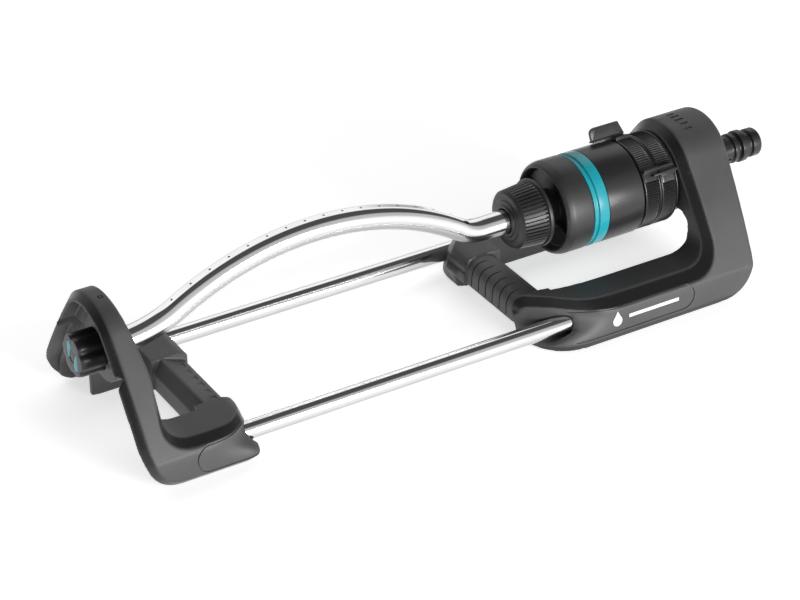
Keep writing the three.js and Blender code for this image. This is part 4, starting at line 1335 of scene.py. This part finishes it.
# --- hose connector and hub
NIPPLE_Z = AXIS_Z + 2


def connector():
    x1 = ends("hose_connector")[1]
    plug = revolve("connector_plug", soften([
        (176, 5), (176, 16.8), (178.4, 16.8), (178.4, 15), (181, 15), (181, 16.8),
        (188, 16.8), (189.4, 15.4), (189.4, 5),
    ], 0.4), 96)
    nipple = revolve("hose_connector_turned", soften([
        (189, 5), (189, 10.4), (191.5, 7.8), (210.5, 7.6), (211, 9.3), (213.4, 9.3), (213.8, 7.4),
        (216, 7.4), (216.4, 9.9), (220.6, 9.9), (221, 7.2), (224.6, 7.2), (225, 8.9),
        (230.2, 8.9), (x1, 7.9), (x1, 5),
    ], 0.45), 96, z=NIPPLE_Z)
    lobes = [leaned(bar("grip_rib", (193, 209), (6.8, 8.7), 0.8, 60 * k, 0.3),
                    0, (0, NIPPLE_Z - AXIS_Z)) for k in range(6)]
    waterway = revolve("waterway", [(170, 0), (170, 5), (191, 5), (191, 0)], 48, z=NIPPLE_Z)
    inlet = revolve("inlet", [(170, 0), (170, 5), (178, 5), (178, 0)], 48)
    return cut(join(nipple, plug, *lobes), waterway, inlet)


def hub():
    return revolve("inlet_hub_turned", soften([
        (112.8, 6.5), (112.8, 12.5), (119.3, 12.5), (119.3, 13.7), (129, 13.7), (129, 22.3),
        (153.3, 22.3), (153.3, 19.7), (182.6, 19.7), (182.6, 17.2), (132, 17.2), (132, 6.5),
    ], 0.4), 128)


place_piece(connector(), "hose_connector")
place_piece(hub(), "inlet_hub")


# --- floor and light
FLOOR_HALF = 6                   # metres
FLOOR_DROP = 0.0002
SKY = [(0.0, 1.10), (0.08, 1.0), (0.14, 0.60), (0.29, 0.52), (0.33, 0.08), (0.61, 0.07),
       (0.65, 1.0), (0.86, 1.05), (0.92, 0.5), (1.0, 0.45)]


def make_floor():
    mesh = bpy.data.meshes.new("floor")
    reach = (-FLOOR_HALF, FLOOR_HALF)
    corners = rectangle(reach, reach)
    mesh.from_pydata([(x, y, -FLOOR_DROP) for x, y in corners], [], [(0, 1, 2, 3)])
    floor = add_object("floor", mesh)
    material, nodes = new_look("pale_floor")
    mottle = nodes.ramp(nodes.noise(nodes.place(), 3, 3), 0.3, 0.7, 0.93, 0.95)
    colour = nodes.add("CombineColor", {"Red": mottle, "Green": mottle, "Blue": mottle})
    shader = nodes.add("BsdfPrincipled", {
        "Base Color": colour.outputs[0], "Roughness": 0.9,
        "Emission Color": (1, 1, 1, 1), "Emission Strength": 0.62,
    })
    nodes.add("OutputMaterial", {"Surface": shader.outputs[0]})
    mesh.materials.append(material)


def make_studio():
    """A white dome with a dark strip high on the near side and a dimmer -X end.

    SKY gives the brightness at shares of the half turn from the near horizon over the top.
    """
    world = bpy.data.worlds.new("studio")
    bpy.context.scene.world = world
    world.use_nodes = True
    nodes = Nodes(world.node_tree)
    parts = nodes.add("SeparateXYZ", {
        "Vector": nodes.add("TexCoord").outputs["Generated"],
    })
    backward = nodes.times(parts.outputs["Y"], -1.0)
    angle = nodes.math("ARCTAN2", parts.outputs["Z"], backward)
    ramp = nodes.add("ValToRGB", {"Fac": nodes.ramp(angle, 0, math.pi)})
    elements = ramp.color_ramp.elements
    for index, (where, value) in enumerate(SKY):
        element = elements[index] if index < 2 else elements.new(where)
        element.position = where
        element.color = (value, value, value, 1)
    background = nodes.add("Background", {
        "Color": ramp.outputs["Color"],
        "Strength": nodes.ramp(parts.outputs["X"], -0.75, -0.35, 0.25, 1.0),
    })
    nodes.add("OutputWorld", {"Surface": background.outputs[0]})


def key_light(place, aim, size, power):
    data = bpy.data.lights.new("key_light", "AREA")
    data.shape = "DISK"
    data.size = size
    data.energy = power
    aim_at(add_object("key_light", data), place, aim)


make_floor()
make_studio()
key_light((0.45, -1.9, 0.30), (0, 0, 0.04), size=0.9, power=44)
bpy.context.scene.view_settings.view_transform = "Standard"
